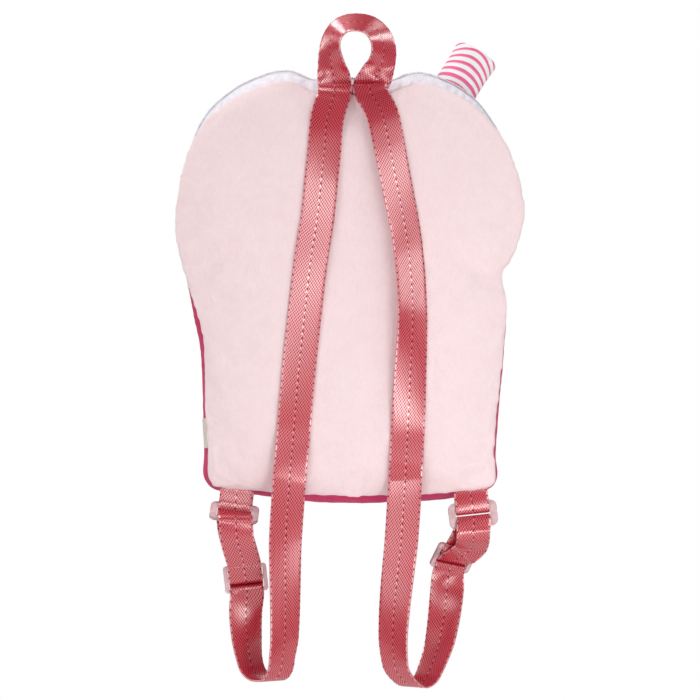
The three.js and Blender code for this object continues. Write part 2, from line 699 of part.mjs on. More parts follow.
// The upright frame on a ring's upper bar, and how far above it the bottom seam is.
function tabFrame(side) {
  const bar = inFrame(fittingPlaces(side).ring, 0, ringPitch);
  const level = fittingFrame(bar, { ...side.ring, pitch: 0 });
  const flat = fittingFrame(bar, { ...side.ring, pitch: 0, yaw: 0 });
  return { bar, level, flat, reach: bottomEdgeZ(bar.x) - bar.z };
}

function tabKeys(side) {
  const { bar, level, flat, reach } = tabFrame(side);
  const sewn = (offset, height) => ({
    at: inFrame(flat, SEAM_SETBACK + offset - bar.y, height),
    across: flat.across,
  });
  const inLevel = (p) => ({ at: inFrame(level, p.depth, p.height), across: level.across });
  const wrap = halfWrap(-TAB_HANG, 180, 360);
  return [
    sewn(-sewnOffset, reach + TAB_SEWN),
    sewn(-sewnOffset, reach),
    ...[{ depth: -wrapRadius, height: BAR / 2 }, ...wrap].map(inLevel),
    inLevel({ depth: wrapRadius, height: BAR / 2 }),
    sewn(sewnOffset, reach),
    sewn(sewnOffset, reach + TAB_SEWN),
  ];
}

// The room that two layers of sewn-in webbing need in the seam, as a cutter about height 0.
function seamPocket(width) {
  const layers = 2 * (sewnOffset + WEBBING_THICKNESS / 2 + GAP);
  return new THREE.BoxGeometry(width + 4 * GAP, layers, 2 * (TAB_SEWN + GAP));
}

// Centreline of the top loop in its own plane, with the band turned from facing the wearer
// at the seam towards level at the top. across: share of half HANDLE_REACH from the loop's
// middle. up: share of HANDLE_HEIGHT above the seam. out: share of the way from the seam's
// plane to the hook's. lean: degrees turned.
const HANDLE = [
  { across: -0.487, up: 0.06, out: 0.0, lean: 0 },
  { across: -0.52, up: 0.22, out: 0.16, lean: 8 },
  { across: -0.565, up: 0.372, out: 0.3, lean: 38 },
  { across: -0.608, up: 0.592, out: 0.65, lean: 50 },
  { across: -0.575, up: 0.76, out: 0.9, lean: 54 },
  { across: -0.454, up: 0.886, out: 1.0, lean: 55 },
  { across: -0.23, up: 0.98, out: 1.0, lean: 55 },
  { across: 0.11, up: 1.01, out: 1.0, lean: 55 },
  { across: 0.5, up: 0.965, out: 1.0, lean: 52 },
  { across: 0.79, up: 0.81, out: 0.9, lean: 47 },
  { across: 0.892, up: 0.592, out: 0.65, lean: 43 },
  { across: 0.8, up: 0.372, out: 0.3, lean: 36 },
  { across: 0.665, up: 0.21, out: 0.3, lean: 5 },
  { across: 0.487, up: 0.06, out: 0.0, lean: 0 },
];

function handleKeys() {
  const y = SEAM_SETBACK + sewnOffset;
  const keys = HANDLE.map((k) => {
    const z = seamTopZ + k.up * HANDLE_HEIGHT;
    const at = new THREE.Vector3((k.across * HANDLE_REACH) / 2, y * (1 - k.out), z);
    const lean = THREE.MathUtils.degToRad(k.lean);
    const inward = new THREE.Vector3(0, at.y, seamTopZ + 0.55 * HANDLE_HEIGHT).sub(at);
    inward.z *= Math.min(1, k.lean / 50);
    inward.normalize().multiplyScalar(Math.cos(lean));
    return { at, across: inward.addScaledVector(AWAY, -Math.sin(lean)), steps: 2 };
  });
  const legs = [-1, 1].map((side) => ({
    at: new THREE.Vector3(side * foldX, y, seamTopZ - TAB_SEWN),
    across: new THREE.Vector3(-side, 0, 0),
  }));
  return [legs[0], ...keys, legs[1]];
}

// A flat plate with round corners and slots, its thickness along Y.
function fittingGeometry(cheek, height, bars) {
  const width = WEBBING_WIDTH + SLOT_PLAY + 2 * cheek;
  const corner = 0.9 * Math.min(cheek, height / 3);
  const shape = new THREE.Shape();
  const [w, h] = [width / 2, height / 2];
  shape.moveTo(-w + corner, -h);
  shape.lineTo(w - corner, -h);
  shape.absarc(w - corner, -h + corner, corner, -Math.PI / 2, 0);
  shape.lineTo(w, h - corner);
  shape.absarc(w - corner, h - corner, corner, 0, Math.PI / 2);
  shape.lineTo(-w + corner, h);
  shape.absarc(-w + corner, h - corner, corner, Math.PI / 2, Math.PI);
  shape.lineTo(-w, -h + corner);
  shape.absarc(-w + corner, -h + corner, corner, Math.PI, 1.5 * Math.PI);
  const slotHalf = (WEBBING_WIDTH + SLOT_PLAY) / 2;
  const slotHeight = (height - bars * BAR) / (bars - 1);
  for (let i = 0; i + 1 < bars; i++) {
    const low = -h + BAR + i * (slotHeight + BAR);
    const hole = new THREE.Path();
    hole.moveTo(-slotHalf, low);
    hole.lineTo(-slotHalf, low + slotHeight);
    hole.lineTo(slotHalf, low + slotHeight);
    hole.lineTo(slotHalf, low);
    hole.closePath();
    shape.holes.push(hole);
  }
  const plate = new THREE.ExtrudeGeometry(shape, {
    depth: BAR,
    bevelEnabled: false,
    curveSegments: 5,
  });
  return plate.rotateX(Math.PI / 2).translate(0, BAR / 2, 0);
}

// Everything inside the bag's skin, grown by clearance, for fitting pieces on to it.
function bagEnvelope(clearance) {
  const columns = 8;
  const rings = [...PANEL_RINGS, 1];
  const back = rings.map((t) =>
    panelRing(t, -clearance, (x, z) => backFaceY(x, z, t) - clearance),
  );
  const gusset = Array.from({ length: columns + 1 }, (_, j) =>
    rim.map((_, i) => gussetPoint(i / RIM_STEPS, j / columns, clearance)),
  );
  const front = rings
    .reverse()
    .map((t) => panelRing(t, -clearance, (x, z) => frontFaceY(z, t) + clearance));
  const crest = middle.clone().setY(backFaceY(middle.x, middle.z, 0) - clearance);
  const belly = middle.clone().setY(frontFaceY(middle.z, 0) + clearance);
  return bodyFromRings([...back, ...gusset, ...front], crest, belly);
}

// The stuffed ear: a slightly waisted tube with a soft domed tip.
// up: share of EAR_LENGTH. wide: share of EAR_RADIUS.
const EAR_PROFILE = [
  { up: 0.0, wide: 0.97 },
  { up: 0.35, wide: 0.96 },
  { up: 0.6, wide: 0.95 },
  { up: 0.8, wide: 0.97 },
  { up: 0.93, wide: 1.0 },
  { up: 0.98, wide: 0.96 },
  { up: 1.0, wide: 0.6 },
];
const EAR = { across: 0.534, down: 0.0555, beyond: 8, side_lean: 32.5, forward_lean: 10 };

function earGeometry() {
  const profile = [
    new THREE.Vector2(0, 0),
    ...EAR_PROFILE.map((p) => new THREE.Vector2(p.wide * EAR_RADIUS, p.up * EAR_LENGTH)),
    new THREE.Vector2(0, EAR_LENGTH * 1.02),
  ];
  const ear = new THREE.LatheGeometry(profile, 22);
  ear.rotateX(Math.PI / 2);
  const forward = THREE.MathUtils.degToRad(EAR.forward_lean);
  const sideways = THREE.MathUtils.degToRad(EAR.side_lean);
  const way = new THREE.Vector3(
    Math.sin(sideways) * Math.cos(forward),
    Math.sin(forward),
    Math.cos(sideways) * Math.cos(forward),
  );
  ear.applyQuaternion(new THREE.Quaternion().setFromUnitVectors(UP, way));
  const z = levelZ(EAR.down);
  return ear.translate(EAR.across * halfWidth, frontSeamY(z) + EAR.beyond, z);
}

// The zip's slider with its pull, one plain piece at the left end of the teeth.
const ZIP_BODY = { length: 10, width: 8, height: 2.4 };
const ZIP_PULL = { length: 22, width: 6, height: 1.2 };

function zipSliderGeometry() {
  const u = zipLeft + 0.012;
  const lift = TAPE_WALL + COIL_HEIGHT + 2 * GAP;
  const at = gussetPoint(u, 0.5, COIL_HEIGHT + 2 * GAP);
  const along = gussetPoint(u - 0.01, 0.5, lift).sub(gussetPoint(u + 0.01, 0.5, lift)).normalize();
  const out = rimAt(u).outward.clone();
  out.addScaledVector(along, -out.dot(along)).normalize();
  const over = out.clone().cross(along);
  const body = new THREE.BoxGeometry(ZIP_BODY.length, ZIP_BODY.width, ZIP_BODY.height);
  body.translate(0, 0, ZIP_BODY.height / 2);
  const pull = new THREE.BoxGeometry(ZIP_PULL.length, ZIP_PULL.width, ZIP_PULL.height);
  pull.translate(ZIP_PULL.length / 2, 0, ZIP_PULL.height);
  const joined = geometryOf(solidOf(body).add(solidOf(pull)));
  const frame = new THREE.Matrix4().makeBasis(along, over, out).setPosition(at);
  return joined.applyMatrix4(frame);
}

function slab(lowZ, highZ) {
  const size = 4 * (BAG_WIDTH + BOTTOM_DEPTH);
  return new THREE.BoxGeometry(size, size, highZ - lowZ).translate(0, 0, (lowZ + highZ) / 2);
}

const bag = new THREE.Group();

const topPocket = seamPocket(4 * foldX).translate(0, SEAM_SETBACK, seamTopZ);
const tabPockets = Object.values(SIDES).map((side) => {
  const { bar, flat, reach } = tabFrame(side);
  const pocket = seamPocket(WEBBING_WIDTH).translate(0, SEAM_SETBACK - bar.y, reach);
  return pocket.applyMatrix4(flat.matrix);
});

const backPanel = cutBy(backPanelGeometry(), topPocket, ...tabPockets);
bag.add(piece("back_panel", backPanel, PALE_PINK));

const front = frontPanelGeometry();
const neckZ = levelZ(NECK);
const farUp = HANDLE_HEIGHT;
const farDown = bottomZ - BOTTOM_DEPTH;
bag.add(piece("front_head_panel", cutBy(front, slab(farDown, neckZ + GAP / 2)), PALE_PINK));
bag.add(piece("front_body_panel", cutBy(front, slab(neckZ - GAP / 2, farUp)), HOT_PINK));

const bodyGusset = gussetWall(neckRight + seamStep, neckLeft - seamStep, 36, 0, 1, 6, CLOTH_WALL);
bag.add(piece("body_gusset", cutBy(bodyGusset, ...tabPockets), HOT_PINK));
const headRight = gussetWall(zipRight + seamStep, neckRight - seamStep, 9, 0, 1, 6, CLOTH_WALL);
const headLeft = gussetWall(neckLeft + seamStep, zipLeft + 1 - seamStep, 9, 0, 1, 6, CLOTH_WALL);
bag.add(piece("head_side_right", headRight, PALE_PINK));
bag.add(piece("head_side_left", headLeft, PALE_PINK));

const tapeEdge = 0.02; // share of the gusset's width left open under the teeth
const zipSteps = 32;
const tapeBack = gussetWall(zipLeft, zipRight, zipSteps, 0, 0.5 - tapeEdge, 3, TAPE_WALL);
const tapeFront = gussetWall(zipLeft, zipRight, zipSteps, 0.5 + tapeEdge, 1, 3, TAPE_WALL);
const looseLoop = band(handleKeys(), WEBBING_WIDTH + 4 * GAP, WEBBING_THICKNESS + 2 * GAP);
bag.add(piece("zip_tape_back", cutBy(tapeBack, topPocket, looseLoop), ZIP_LILAC, 0.8));
bag.add(piece("zip_tape_front", tapeFront, ZIP_LILAC, 0.8));
const coilShare = COIL_WIDTH / TOP_DEPTH / 2;
const zipStep = (zipRight - zipLeft) / zipSteps;
const coil = gussetWall(
  zipLeft + zipStep,
  zipRight - zipStep,
  zipSteps - 2,
  0.5 - coilShare,
  0.5 + coilShare,
  2,
  COIL_HEIGHT,
  COIL_HEIGHT + GAP,
);
bag.add(piece("zip_teeth", coil, ZIP_LILAC, 0.5));
bag.add(piece("zip_slider", zipSliderGeometry(), ZIP_LILAC, 0.4));

bag.add(piece("ear", cutBy(earGeometry(), bagEnvelope(2 * GAP)), PALE_PINK));

bag.add(piece("top_loop", band(handleKeys()), STRAP_RED, 0.45));
for (const [name, side] of Object.entries(SIDES)) {
  const { ring, slider } = fittingPlaces(side);
  bag.add(piece(`shoulder_strap_${name}`, band(strapKeys(side)), STRAP_RED, 0.45));
  bag.add(piece(`anchor_tab_${name}`, band(tabKeys(side)), STRAP_RED, 0.45));
  const ringPlate = fittingGeometry(RING_CHEEK, RING_HEIGHT, 2).applyMatrix4(ring.matrix);
  bag.add(piece(`strap_ring_${name}`, ringPlate, CLEAR_PLASTIC, 0.15));
  const sliderPlate = fittingGeometry(SLIDER_CHEEK, SLIDER_HEIGHT, 3).applyMatrix4(slider.matrix);
  bag.add(piece(`strap_slider_${name}`, sliderPlate, CLEAR_PLASTIC, 0.15));
}

const labelU = rimShareAt(0.845, -1);
const labelHalf = LABEL_WIDTH / 2 / outline.getLength();
const label = gussetWall(
  labelU - labelHalf,
  labelU + labelHalf,
  3,
  0.015,
  LABEL_REACH / BOTTOM_DEPTH,
  2,
  LABEL_THICKNESS,
  LABEL_THICKNESS + 2 * GAP,
);
bag.add(piece("side_label", label, LABEL_CREAM));

export default bag;
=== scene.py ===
"""The looks of a child's soft backpack, hanging by its top loop and seen from the wearer's side.

The bag is plush, with a padded back panel, a woven zip over the top, one stuffed striped ear,
satin webbing and clear plastic adjusters. Lengths are metres, +Z is up and -Y is the wearer.
"""

from __future__ import annotations

import itertools
import json
import logging
import math
from bisect import bisect_right
from dataclasses import dataclass, field
from enum import Enum
from typing import Callable, Iterable, Sequence

import bmesh
import bpy
from mathutils import Matrix, Vector, noise
from mathutils.bvhtree import BVHTree
from mathutils.geometry import interpolate_bezier

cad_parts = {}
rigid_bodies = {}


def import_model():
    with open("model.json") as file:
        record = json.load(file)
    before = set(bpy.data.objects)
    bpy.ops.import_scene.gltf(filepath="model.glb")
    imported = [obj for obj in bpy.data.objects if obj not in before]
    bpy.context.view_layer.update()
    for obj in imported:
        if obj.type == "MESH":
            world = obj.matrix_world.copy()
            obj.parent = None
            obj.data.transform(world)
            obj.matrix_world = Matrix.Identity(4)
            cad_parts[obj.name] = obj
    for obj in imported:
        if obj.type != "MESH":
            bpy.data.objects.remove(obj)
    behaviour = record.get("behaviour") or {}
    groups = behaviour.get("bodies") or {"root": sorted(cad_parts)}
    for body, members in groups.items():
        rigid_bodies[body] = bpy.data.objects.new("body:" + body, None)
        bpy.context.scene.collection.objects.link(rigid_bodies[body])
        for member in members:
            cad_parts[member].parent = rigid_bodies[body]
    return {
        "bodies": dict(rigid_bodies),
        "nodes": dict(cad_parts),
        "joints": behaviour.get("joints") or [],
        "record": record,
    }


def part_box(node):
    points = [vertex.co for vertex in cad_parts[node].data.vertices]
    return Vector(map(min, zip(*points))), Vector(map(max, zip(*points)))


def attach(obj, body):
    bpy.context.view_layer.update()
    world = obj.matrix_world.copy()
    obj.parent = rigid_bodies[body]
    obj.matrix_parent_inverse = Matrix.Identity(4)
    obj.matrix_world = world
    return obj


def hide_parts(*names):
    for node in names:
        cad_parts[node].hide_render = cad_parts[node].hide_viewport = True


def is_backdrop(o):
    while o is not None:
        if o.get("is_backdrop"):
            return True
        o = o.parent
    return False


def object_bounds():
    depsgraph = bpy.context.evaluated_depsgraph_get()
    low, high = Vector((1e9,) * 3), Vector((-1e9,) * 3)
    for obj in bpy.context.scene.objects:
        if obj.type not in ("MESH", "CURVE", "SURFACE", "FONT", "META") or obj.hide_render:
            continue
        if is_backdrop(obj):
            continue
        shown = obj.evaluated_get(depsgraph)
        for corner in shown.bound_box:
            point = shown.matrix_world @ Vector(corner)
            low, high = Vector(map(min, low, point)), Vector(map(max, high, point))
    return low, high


log = logging.getLogger("backpack")

Piece = bpy.types.Object
Colour = tuple[float, float, float]


def srgb(red: int, green: int, blue: int) -> Colour:
    """A screen colour, 0 to 255, as the linear colour that materials take."""
    return tuple((c / 255 / 12.92) if c <= 10 else ((c / 255 + 0.055) / 1.055) ** 2.4 for c in (red, green, blue))


def smooth_step(low: float, high: float, at: float) -> float:
    """Rises smoothly from 0 at low to 1 at high, and falls where high is below low."""
    share = min(1.0, max(0.0, (at - low) / (high - low)))
    return share * share * (3 - 2 * share)


# ---------------------------------------------------------------------------------------------
# Shaders
# ---------------------------------------------------------------------------------------------


@dataclass(frozen=True)
class Value:
    """A number socket that shader expressions are written with."""

    paint: "Paint"
    socket: bpy.types.NodeSocket

    def maths(self, operation: str, *others: "Value | float") -> "Value":
        """A Math node on this value and the others."""
        return self.paint.maths(operation, self, *others)

    def __add__(self, other: "Value | float") -> "Value":
        """self + other"""
        return self.maths("ADD", other)

    __radd__ = __add__

    def __sub__(self, other: "Value | float") -> "Value":
        """self - other"""
        return self.maths("SUBTRACT", other)

    def __rsub__(self, other: "Value | float") -> "Value":
        """other - self"""
        return self.paint.maths("SUBTRACT", other, self)

    def __mul__(self, other: "Value | float") -> "Value":
        """self * other"""
        return self.maths("MULTIPLY", other)

    __rmul__ = __mul__

    def __truediv__(self, other: "Value | float") -> "Value":
        """self / other"""
        return self.maths("DIVIDE", other)

    def __abs__(self) -> "Value":
        """The size of the value without its sign."""
        return self.maths("ABSOLUTE")

    def below(self, limit: "Value | float") -> "Value":
        """1 where the value is under the limit, else 0."""
        return self.maths("LESS_THAN", limit)

    def above(self, limit: "Value | float") -> "Value":
        """1 where the value is over the limit, else 0."""
        return self.maths("GREATER_THAN", limit)

    def step(self, low: float, high: float) -> "Value":
        """A smooth step from 0 at low to 1 at high."""
        span = self.paint.node(
            "ShaderNodeMapRange",
            {"interpolation_type": "SMOOTHSTEP", "clamp": True},
            {"Value": self, "From Min": low, "From Max": high, "To Min": 0.0, "To Max": 1.0},
        )
        return Value(self.paint, span.outputs[0])


class Paint:
    """One material's node tree, with the calls that add to it."""

    def __init__(self, name: str) -> None:
        """Starts an empty material with its surface shader.

        Args:
            name: the material's name.
        """
        self.material = bpy.data.materials.new(name)
        self.material.use_nodes = True
        self.tree = self.material.node_tree
        self.tree.nodes.clear()
        self.surface = self.node("ShaderNodeBsdfPrincipled")
        output = self.tree.nodes.new("ShaderNodeOutputMaterial")
        self.tree.links.new(self.surface.outputs[0], output.inputs["Surface"])

    def feed(self, socket: bpy.types.NodeSocket, given: object) -> None:
        """Links a value or a socket to an input, or sets the input to a constant."""
        if isinstance(given, Value):
            self.tree.links.new(given.socket, socket)
        elif isinstance(given, bpy.types.NodeSocket):
            self.tree.links.new(given, socket)
        elif isinstance(given, tuple) and len(given) == 3 and socket.type == "RGBA":
            socket.default_value = (*given, 1.0)
        else:
            socket.default_value = given

    def node(
        self, kind: str, settings: dict[str, object] | None = None, inputs: dict[str | int, object] | None = None
    ) -> bpy.types.Node:
        """Adds a node.

        Args:
            kind: the node's type.
            settings: its options, set before its inputs.
            inputs: constants, values or sockets for its inputs, by name or place.

        Returns:
            The new node.
        """
        made = self.tree.nodes.new(kind)
        for name, setting in (settings or {}).items():
            setattr(made, name, setting)
        for key, given in (inputs or {}).items():
            self.feed(made.inputs[key], given)
        return made

    def maths(self, operation: str, *terms: Value | float) -> Value:
        """A Math node with its terms in order."""
        made = self.node("ShaderNodeMath", {"operation": operation}, dict(enumerate(terms)))
        return Value(self, made.outputs[0])

    def place(self, scale: Sequence[float] = (1, 1, 1), turn: Sequence[float] = (0, 0, 0)) -> bpy.types.NodeSocket:
        """The place on the piece, in metres of its own object."""
        where = self.node("ShaderNodeTexCoord")
        mapping = self.node("ShaderNodeMapping", None, {"Vector": where.outputs["Object"], "Scale": scale, "Rotation": turn})
        return mapping.outputs[0]

    def cloth_place(self, name: str) -> tuple[Value, Value]:
        """The piece's own cloth map, as metres across and metres along."""
        where = self.node("ShaderNodeUVMap", {"uv_map": name})
        parts = self.node("ShaderNodeSeparateXYZ", None, {0: where.outputs[0]})
        return Value(self, parts.outputs[0]), Value(self, parts.outputs[1])

    def noise(self, scale: float, where: bpy.types.NodeSocket, detail: float = 2.0) -> Value:
        """Soft noise with the given number of spots in a metre."""
        made = self.node("ShaderNodeTexNoise", None, {"Vector": where, "Scale": scale, "Detail": detail})
        return Value(self, made.outputs[0])

    def mix(self, share: Value | float, first: object, second: object) -> bpy.types.NodeSocket:
        """A colour between two colours."""
        made = self.node("ShaderNodeMix", {"data_type": "RGBA"}, {0: share, 6: first, 7: second})
        return made.outputs[2]

    def relief(self, height: Value, depth: float, strength: float = 1.0) -> None:
        """Raises the surface's finest relief from a height of 0 to 1, depth metres deep."""
        bump = self.node("ShaderNodeBump", None, {"Height": height, "Distance": depth, "Strength": strength})
        self.set({"Normal": bump.outputs[0]})

    def set(self, inputs: dict[str, object]) -> None:
        """Sets or links inputs of the surface shader."""
        for key, given in inputs.items():
            self.feed(self.surface.inputs[key], given)


@dataclass(frozen=True)
class Plush:
    """Short-pile plush, brushed one way, with random mottling, and painted shade where the pile is low."""

    name: str
    colour: Colour
    shade: Colour
    sheen: float = 0.25
    pile: float = 0.0006
    fibres: float = 1500.0
    patches: float = 85.0

    def made(self) -> bpy.types.Material:
        """Builds the material."""
        paint = Paint(self.name)
        patch = paint.noise(self.patches, paint.place(), 3.0).step(0.35, 0.75)
        tuft = paint.noise(self.fibres, paint.place((1.0, 1.0, 0.45)), 3.0)
        clump = paint.noise(self.fibres / 4, paint.place((1.0, 1.0, 0.6)), 2.0)
        pile = tuft * 0.6 + clump * 0.4
        # Random mottling, plus painted shade where the pile is low.
        share = patch * 0.1 + (1 - pile.step(0.3, 0.62)) * 0.22
        paint.set(
            {
                "Base Color": paint.mix(share, self.colour, self.shade),
                "Roughness": 0.82 + pile * 0.15,
                "Sheen Weight": self.sheen,
                "Sheen Roughness": 0.45,
                "Specular IOR Level": 0.2,
            }
        )
        paint.relief(pile, self.pile)
        return paint.material


@dataclass(frozen=True)
class SatinWebbing:
    """Satin polyester webbing: a brick lattice of yarn float stitches, with dotted edges and middle; its hollows
    and holes are painted darker red as shade, and its edges and middle dots carry a painted highlight.
    """

    name: str
    thread: Colour
    shaded_hollow: Colour
    glint: Colour
    half_width: float = 0.0125
    column: float = 0.00098
    pitch: float = 0.0028
    lean: float = 0.16
    dots: float = 0.0052
    selvage: float = 0.0014

    def made(self) -> bpy.types.Material:
        """Builds the material on the strap's own cloth map."""
        paint = Paint(self.name)
        across, along = paint.cloth_place(CLOTH_MAP)
        columns = across / self.column
        rows = (along + abs(across) * self.lean) / self.pitch + columns.maths("FLOOR") * 0.5
        # The lattice's hollows, which are painted darker red as shade.
        shaded_hollow = self.spot(columns.maths("FRACT") - 0.5, rows.maths("FRACT") - 0.5, 0.5, 0.4)
        phase = (along / self.dots).maths("FRACT")
        middle_hole = self.spot(across - 0.0002, (phase - 0.28) * self.dots, 0.0006, 0.0011)
        middle_float = self.spot(across + 0.0002, (phase - 0.68) * self.dots, 0.0006, 0.0010)
        from_edge = self.half_width - abs(across)
        edge_hole = self.spot(from_edge - 0.0008, (phase - 0.5) * self.dots, 0.0007, 0.0008)
        edge = 1 - from_edge.step(self.selvage * 0.6, self.selvage)
        # The dotted holes, painted darker still as shade.
        holes = middle_hole.maths("MAXIMUM", edge_hole)
        # Painted highlight: the selvage edges and the middle float dots, tinted towards the glint colour.
        glint_floats = (edge * 0.5).maths("MAXIMUM", middle_float * 0.8) * (1 - holes)
        dark = (shaded_hollow * (1 - edge) * (1 - middle_float)).maths("MAXIMUM", holes)
        # The base red, painted darker in the hollows and holes as shade.
        woven = paint.mix(dark * 0.35 + holes * 0.5, self.thread, self.shaded_hollow)
        paint.set(
            {
                "Base Color": paint.mix(glint_floats * 0.3, woven, self.glint),
                "Roughness": 0.46 + dark * 0.3,
                "Metallic": 0.25,
                "Coat Weight": (1 - dark).maths("MAXIMUM", glint_floats),
                "Coat Roughness": 0.28,
                "Coat IOR": 3.1,
            }
        )
        paint.relief(1 - dark, 0.00006, 0.4)
        return paint.material

    @staticmethod
    def spot(over: Value, up: Value, width: float, height: float) -> Value:
        """An oval spot, 1 in its middle, with its half width and half height."""
        share_over, share_up = over / width, up / height
        return 1 - (share_over * share_over + share_up * share_up).step(0.45, 1.15)


@dataclass(frozen=True)
class ZipCloth:
    """Fine woven zip tape, with faint cool painted shade between its threads and random clouding."""

    name: str
    colour: Colour
    shade: Colour
    thread: float = 1400.0

    def made(self) -> bpy.types.Material:
        """Builds the material."""
        paint = Paint(self.name)
        where = paint.node("ShaderNodeSeparateXYZ", None, {0: paint.place()})
        x, y, z = (Value(paint, output) for output in where.outputs)
        warp = ((x + z) * (self.thread * math.tau / 2)).maths("SINE")
        weft = (y * (self.thread * math.tau / 2)).maths("SINE")
        weave = warp * weft * 0.5 + 0.5
        cloud = paint.noise(240.0, paint.place(), 3.0).step(0.4, 0.7)
        # Painted shade between the threads, plus random clouding.
        share = (1 - weave) * 0.35 + cloud * 0.4
        paint.set(
            {
                "Base Color": paint.mix(share, self.colour, self.shade),
                "Roughness": 0.5 + weave * 0.2,
                "Sheen Weight": 0.1,
            }
        )
        paint.relief(weave, 0.0002, 0.5)
        return paint.material


@dataclass(frozen=True)
class Moulded:
    """Moulded nylon or painted metal, with the faint waviness of a small cast piece."""

    name: str
    colour: Colour
    shade: Colour
    roughness: float
    metallic: float = 0.0

    def made(self) -> bpy.types.Material:
        """Builds the material."""
        paint = Paint(self.name)
        cloud = paint.noise(400.0, paint.place(), 2.0)
        paint.set(
            {
                "Base Color": paint.mix(cloud.step(0.4, 0.7), self.colour, self.shade),
                "Roughness": self.roughness + cloud * 0.12,
                "Metallic": self.metallic,
            }
        )
        paint.relief(cloud, 0.00008, 0.4)
        return paint.material


@dataclass(frozen=True)
class ClearPlastic:
    """Clear acetal with a pink cast, slightly clouded by its moulding."""

    name: str
    colour: Colour
    haze: Colour

    def made(self) -> bpy.types.Material:
        """Builds the material."""
        paint = Paint(self.name)
        cloud = paint.noise(180.0, paint.place(), 3.0)
        paint.set(
            {
                "Base Color": paint.mix(cloud.step(0.35, 0.7), self.colour, self.haze),
                "Roughness": 0.12 + cloud * 0.14,
                "IOR": 1.48,
                "Transmission Weight": 0.55,
            }
        )
        paint.relief(cloud, 0.0001, 0.35)
        return paint.material


@dataclass(frozen=True)
class StripedCotton:
    """Printed jersey with pink stripes round the ear, on the ear's own cloth map."""

    name: str
    ground: Colour
    stripe: Colour
    edge: Colour
    pitch: float = 0.0062
    start: float = 0.0009
    wide: float = 0.5
    thinning: float = 5.5

    def made(self) -> bpy.types.Material:
        """Builds the material."""
        paint = Paint(self.name)
        across, along = paint.cloth_place(CLOTH_MAP)
        wander = paint.noise(160.0, paint.place(), 2.0) * 0.0006
        reach = along + wander - self.start
        phase = (reach / self.pitch).maths("FRACT")
        share = self.wide - reach * self.thinning
        band = (phase * 14).step(0.0, 1.0) * (1 - ((phase - share) * 14).step(-0.5, 0.5))
        stitch = (across * 4200.0).maths("SINE") * (along * 5200.0).maths("SINE") * 0.5 + 0.5
        printed = paint.mix(stitch * 0.5, self.stripe, self.edge)
        paint.set(
            {
                "Base Color": paint.mix(band, self.ground, printed),
                "Roughness": 0.78 + stitch * 0.12,
                "Sheen Weight": 0.15,
                "Specular IOR Level": 0.3,
            }
        )
        paint.relief(stitch, 0.0002, 0.5)
        return paint.material


@dataclass(frozen=True)
class SewingThread:
    """Twisted polyester thread, painted darker in the grooves of its twist as shade."""

    name: str
    colour: Colour
    shade: Colour

    def made(self) -> bpy.types.Material:
        """Builds the material."""
        paint = Paint(self.name)
        where = paint.node("ShaderNodeSeparateXYZ", None, {0: paint.place()})
        x, _, z = (Value(paint, output) for output in where.outputs)
        twist = ((x + z) * 9000.0).maths("SINE") * 0.5 + 0.5
        # The grooves of the twist are painted darker as shade.
        paint.set({"Base Color": paint.mix(twist, self.shade, self.colour), "Roughness": 0.42 + twist * 0.1})
        paint.relief(twist, 0.0001, 0.6)
        return paint.material


CLOTH_MAP = "cloth"


class Finish(Enum):
    """The finishes of the bag."""

    # Plush: the second colour is random mottling and painted shade where the pile is low.
    PALE_PLUSH = Plush("pale_plush", srgb(253, 231, 233), srgb(240, 200, 206))
    PINK_PLUSH = Plush("pink_plush", srgb(212, 42, 104), srgb(152, 22, 70), sheen=0.12)
    # Strap: the second colour is painted shade for the weave's hollows and holes, the third a painted highlight for
    # its edges and middle dots.
    STRAP = SatinWebbing("strap_satin", srgb(212, 34, 60), srgb(112, 8, 30), srgb(250, 196, 206))
    # Zip tape, and the label below: the second colour is painted shade between the threads and random clouding.
    ZIP = ZipCloth("zip_cloth", srgb(250, 247, 252), srgb(222, 212, 230))
    COIL = Moulded("coil_nylon", srgb(240, 237, 244), srgb(214, 208, 222), 0.35)
    ZIP_PULL = Moulded("zip_pull", srgb(226, 222, 230), srgb(198, 192, 204), 0.3, 0.25)
    CLEAR = ClearPlastic("clear_plastic", srgb(244, 214, 217), srgb(226, 188, 193))
    EAR = StripedCotton("ear_jersey", srgb(252, 250, 251), srgb(240, 92, 146), srgb(250, 150, 184))
    # Thread: the second colour is painted shade in the grooves of its twist.
    THREAD = SewingThread("sewing_thread", srgb(250, 206, 212), srgb(206, 96, 112))
    LABEL = ZipCloth("label_satin", srgb(238, 228, 220), srgb(205, 188, 178), 2200.0)


class Finishes:
    """Makes each finish's material once."""

    def __init__(self) -> None:
        """Starts with no material made."""
        self.made: dict[Finish, bpy.types.Material] = {}

    def of(self, finish: Finish) -> bpy.types.Material:
        """The material of a finish."""
        if finish not in self.made:
            self.made[finish] = finish.value.made()
        return self.made[finish]


# ---------------------------------------------------------------------------------------------
# Mesh work
# ---------------------------------------------------------------------------------------------


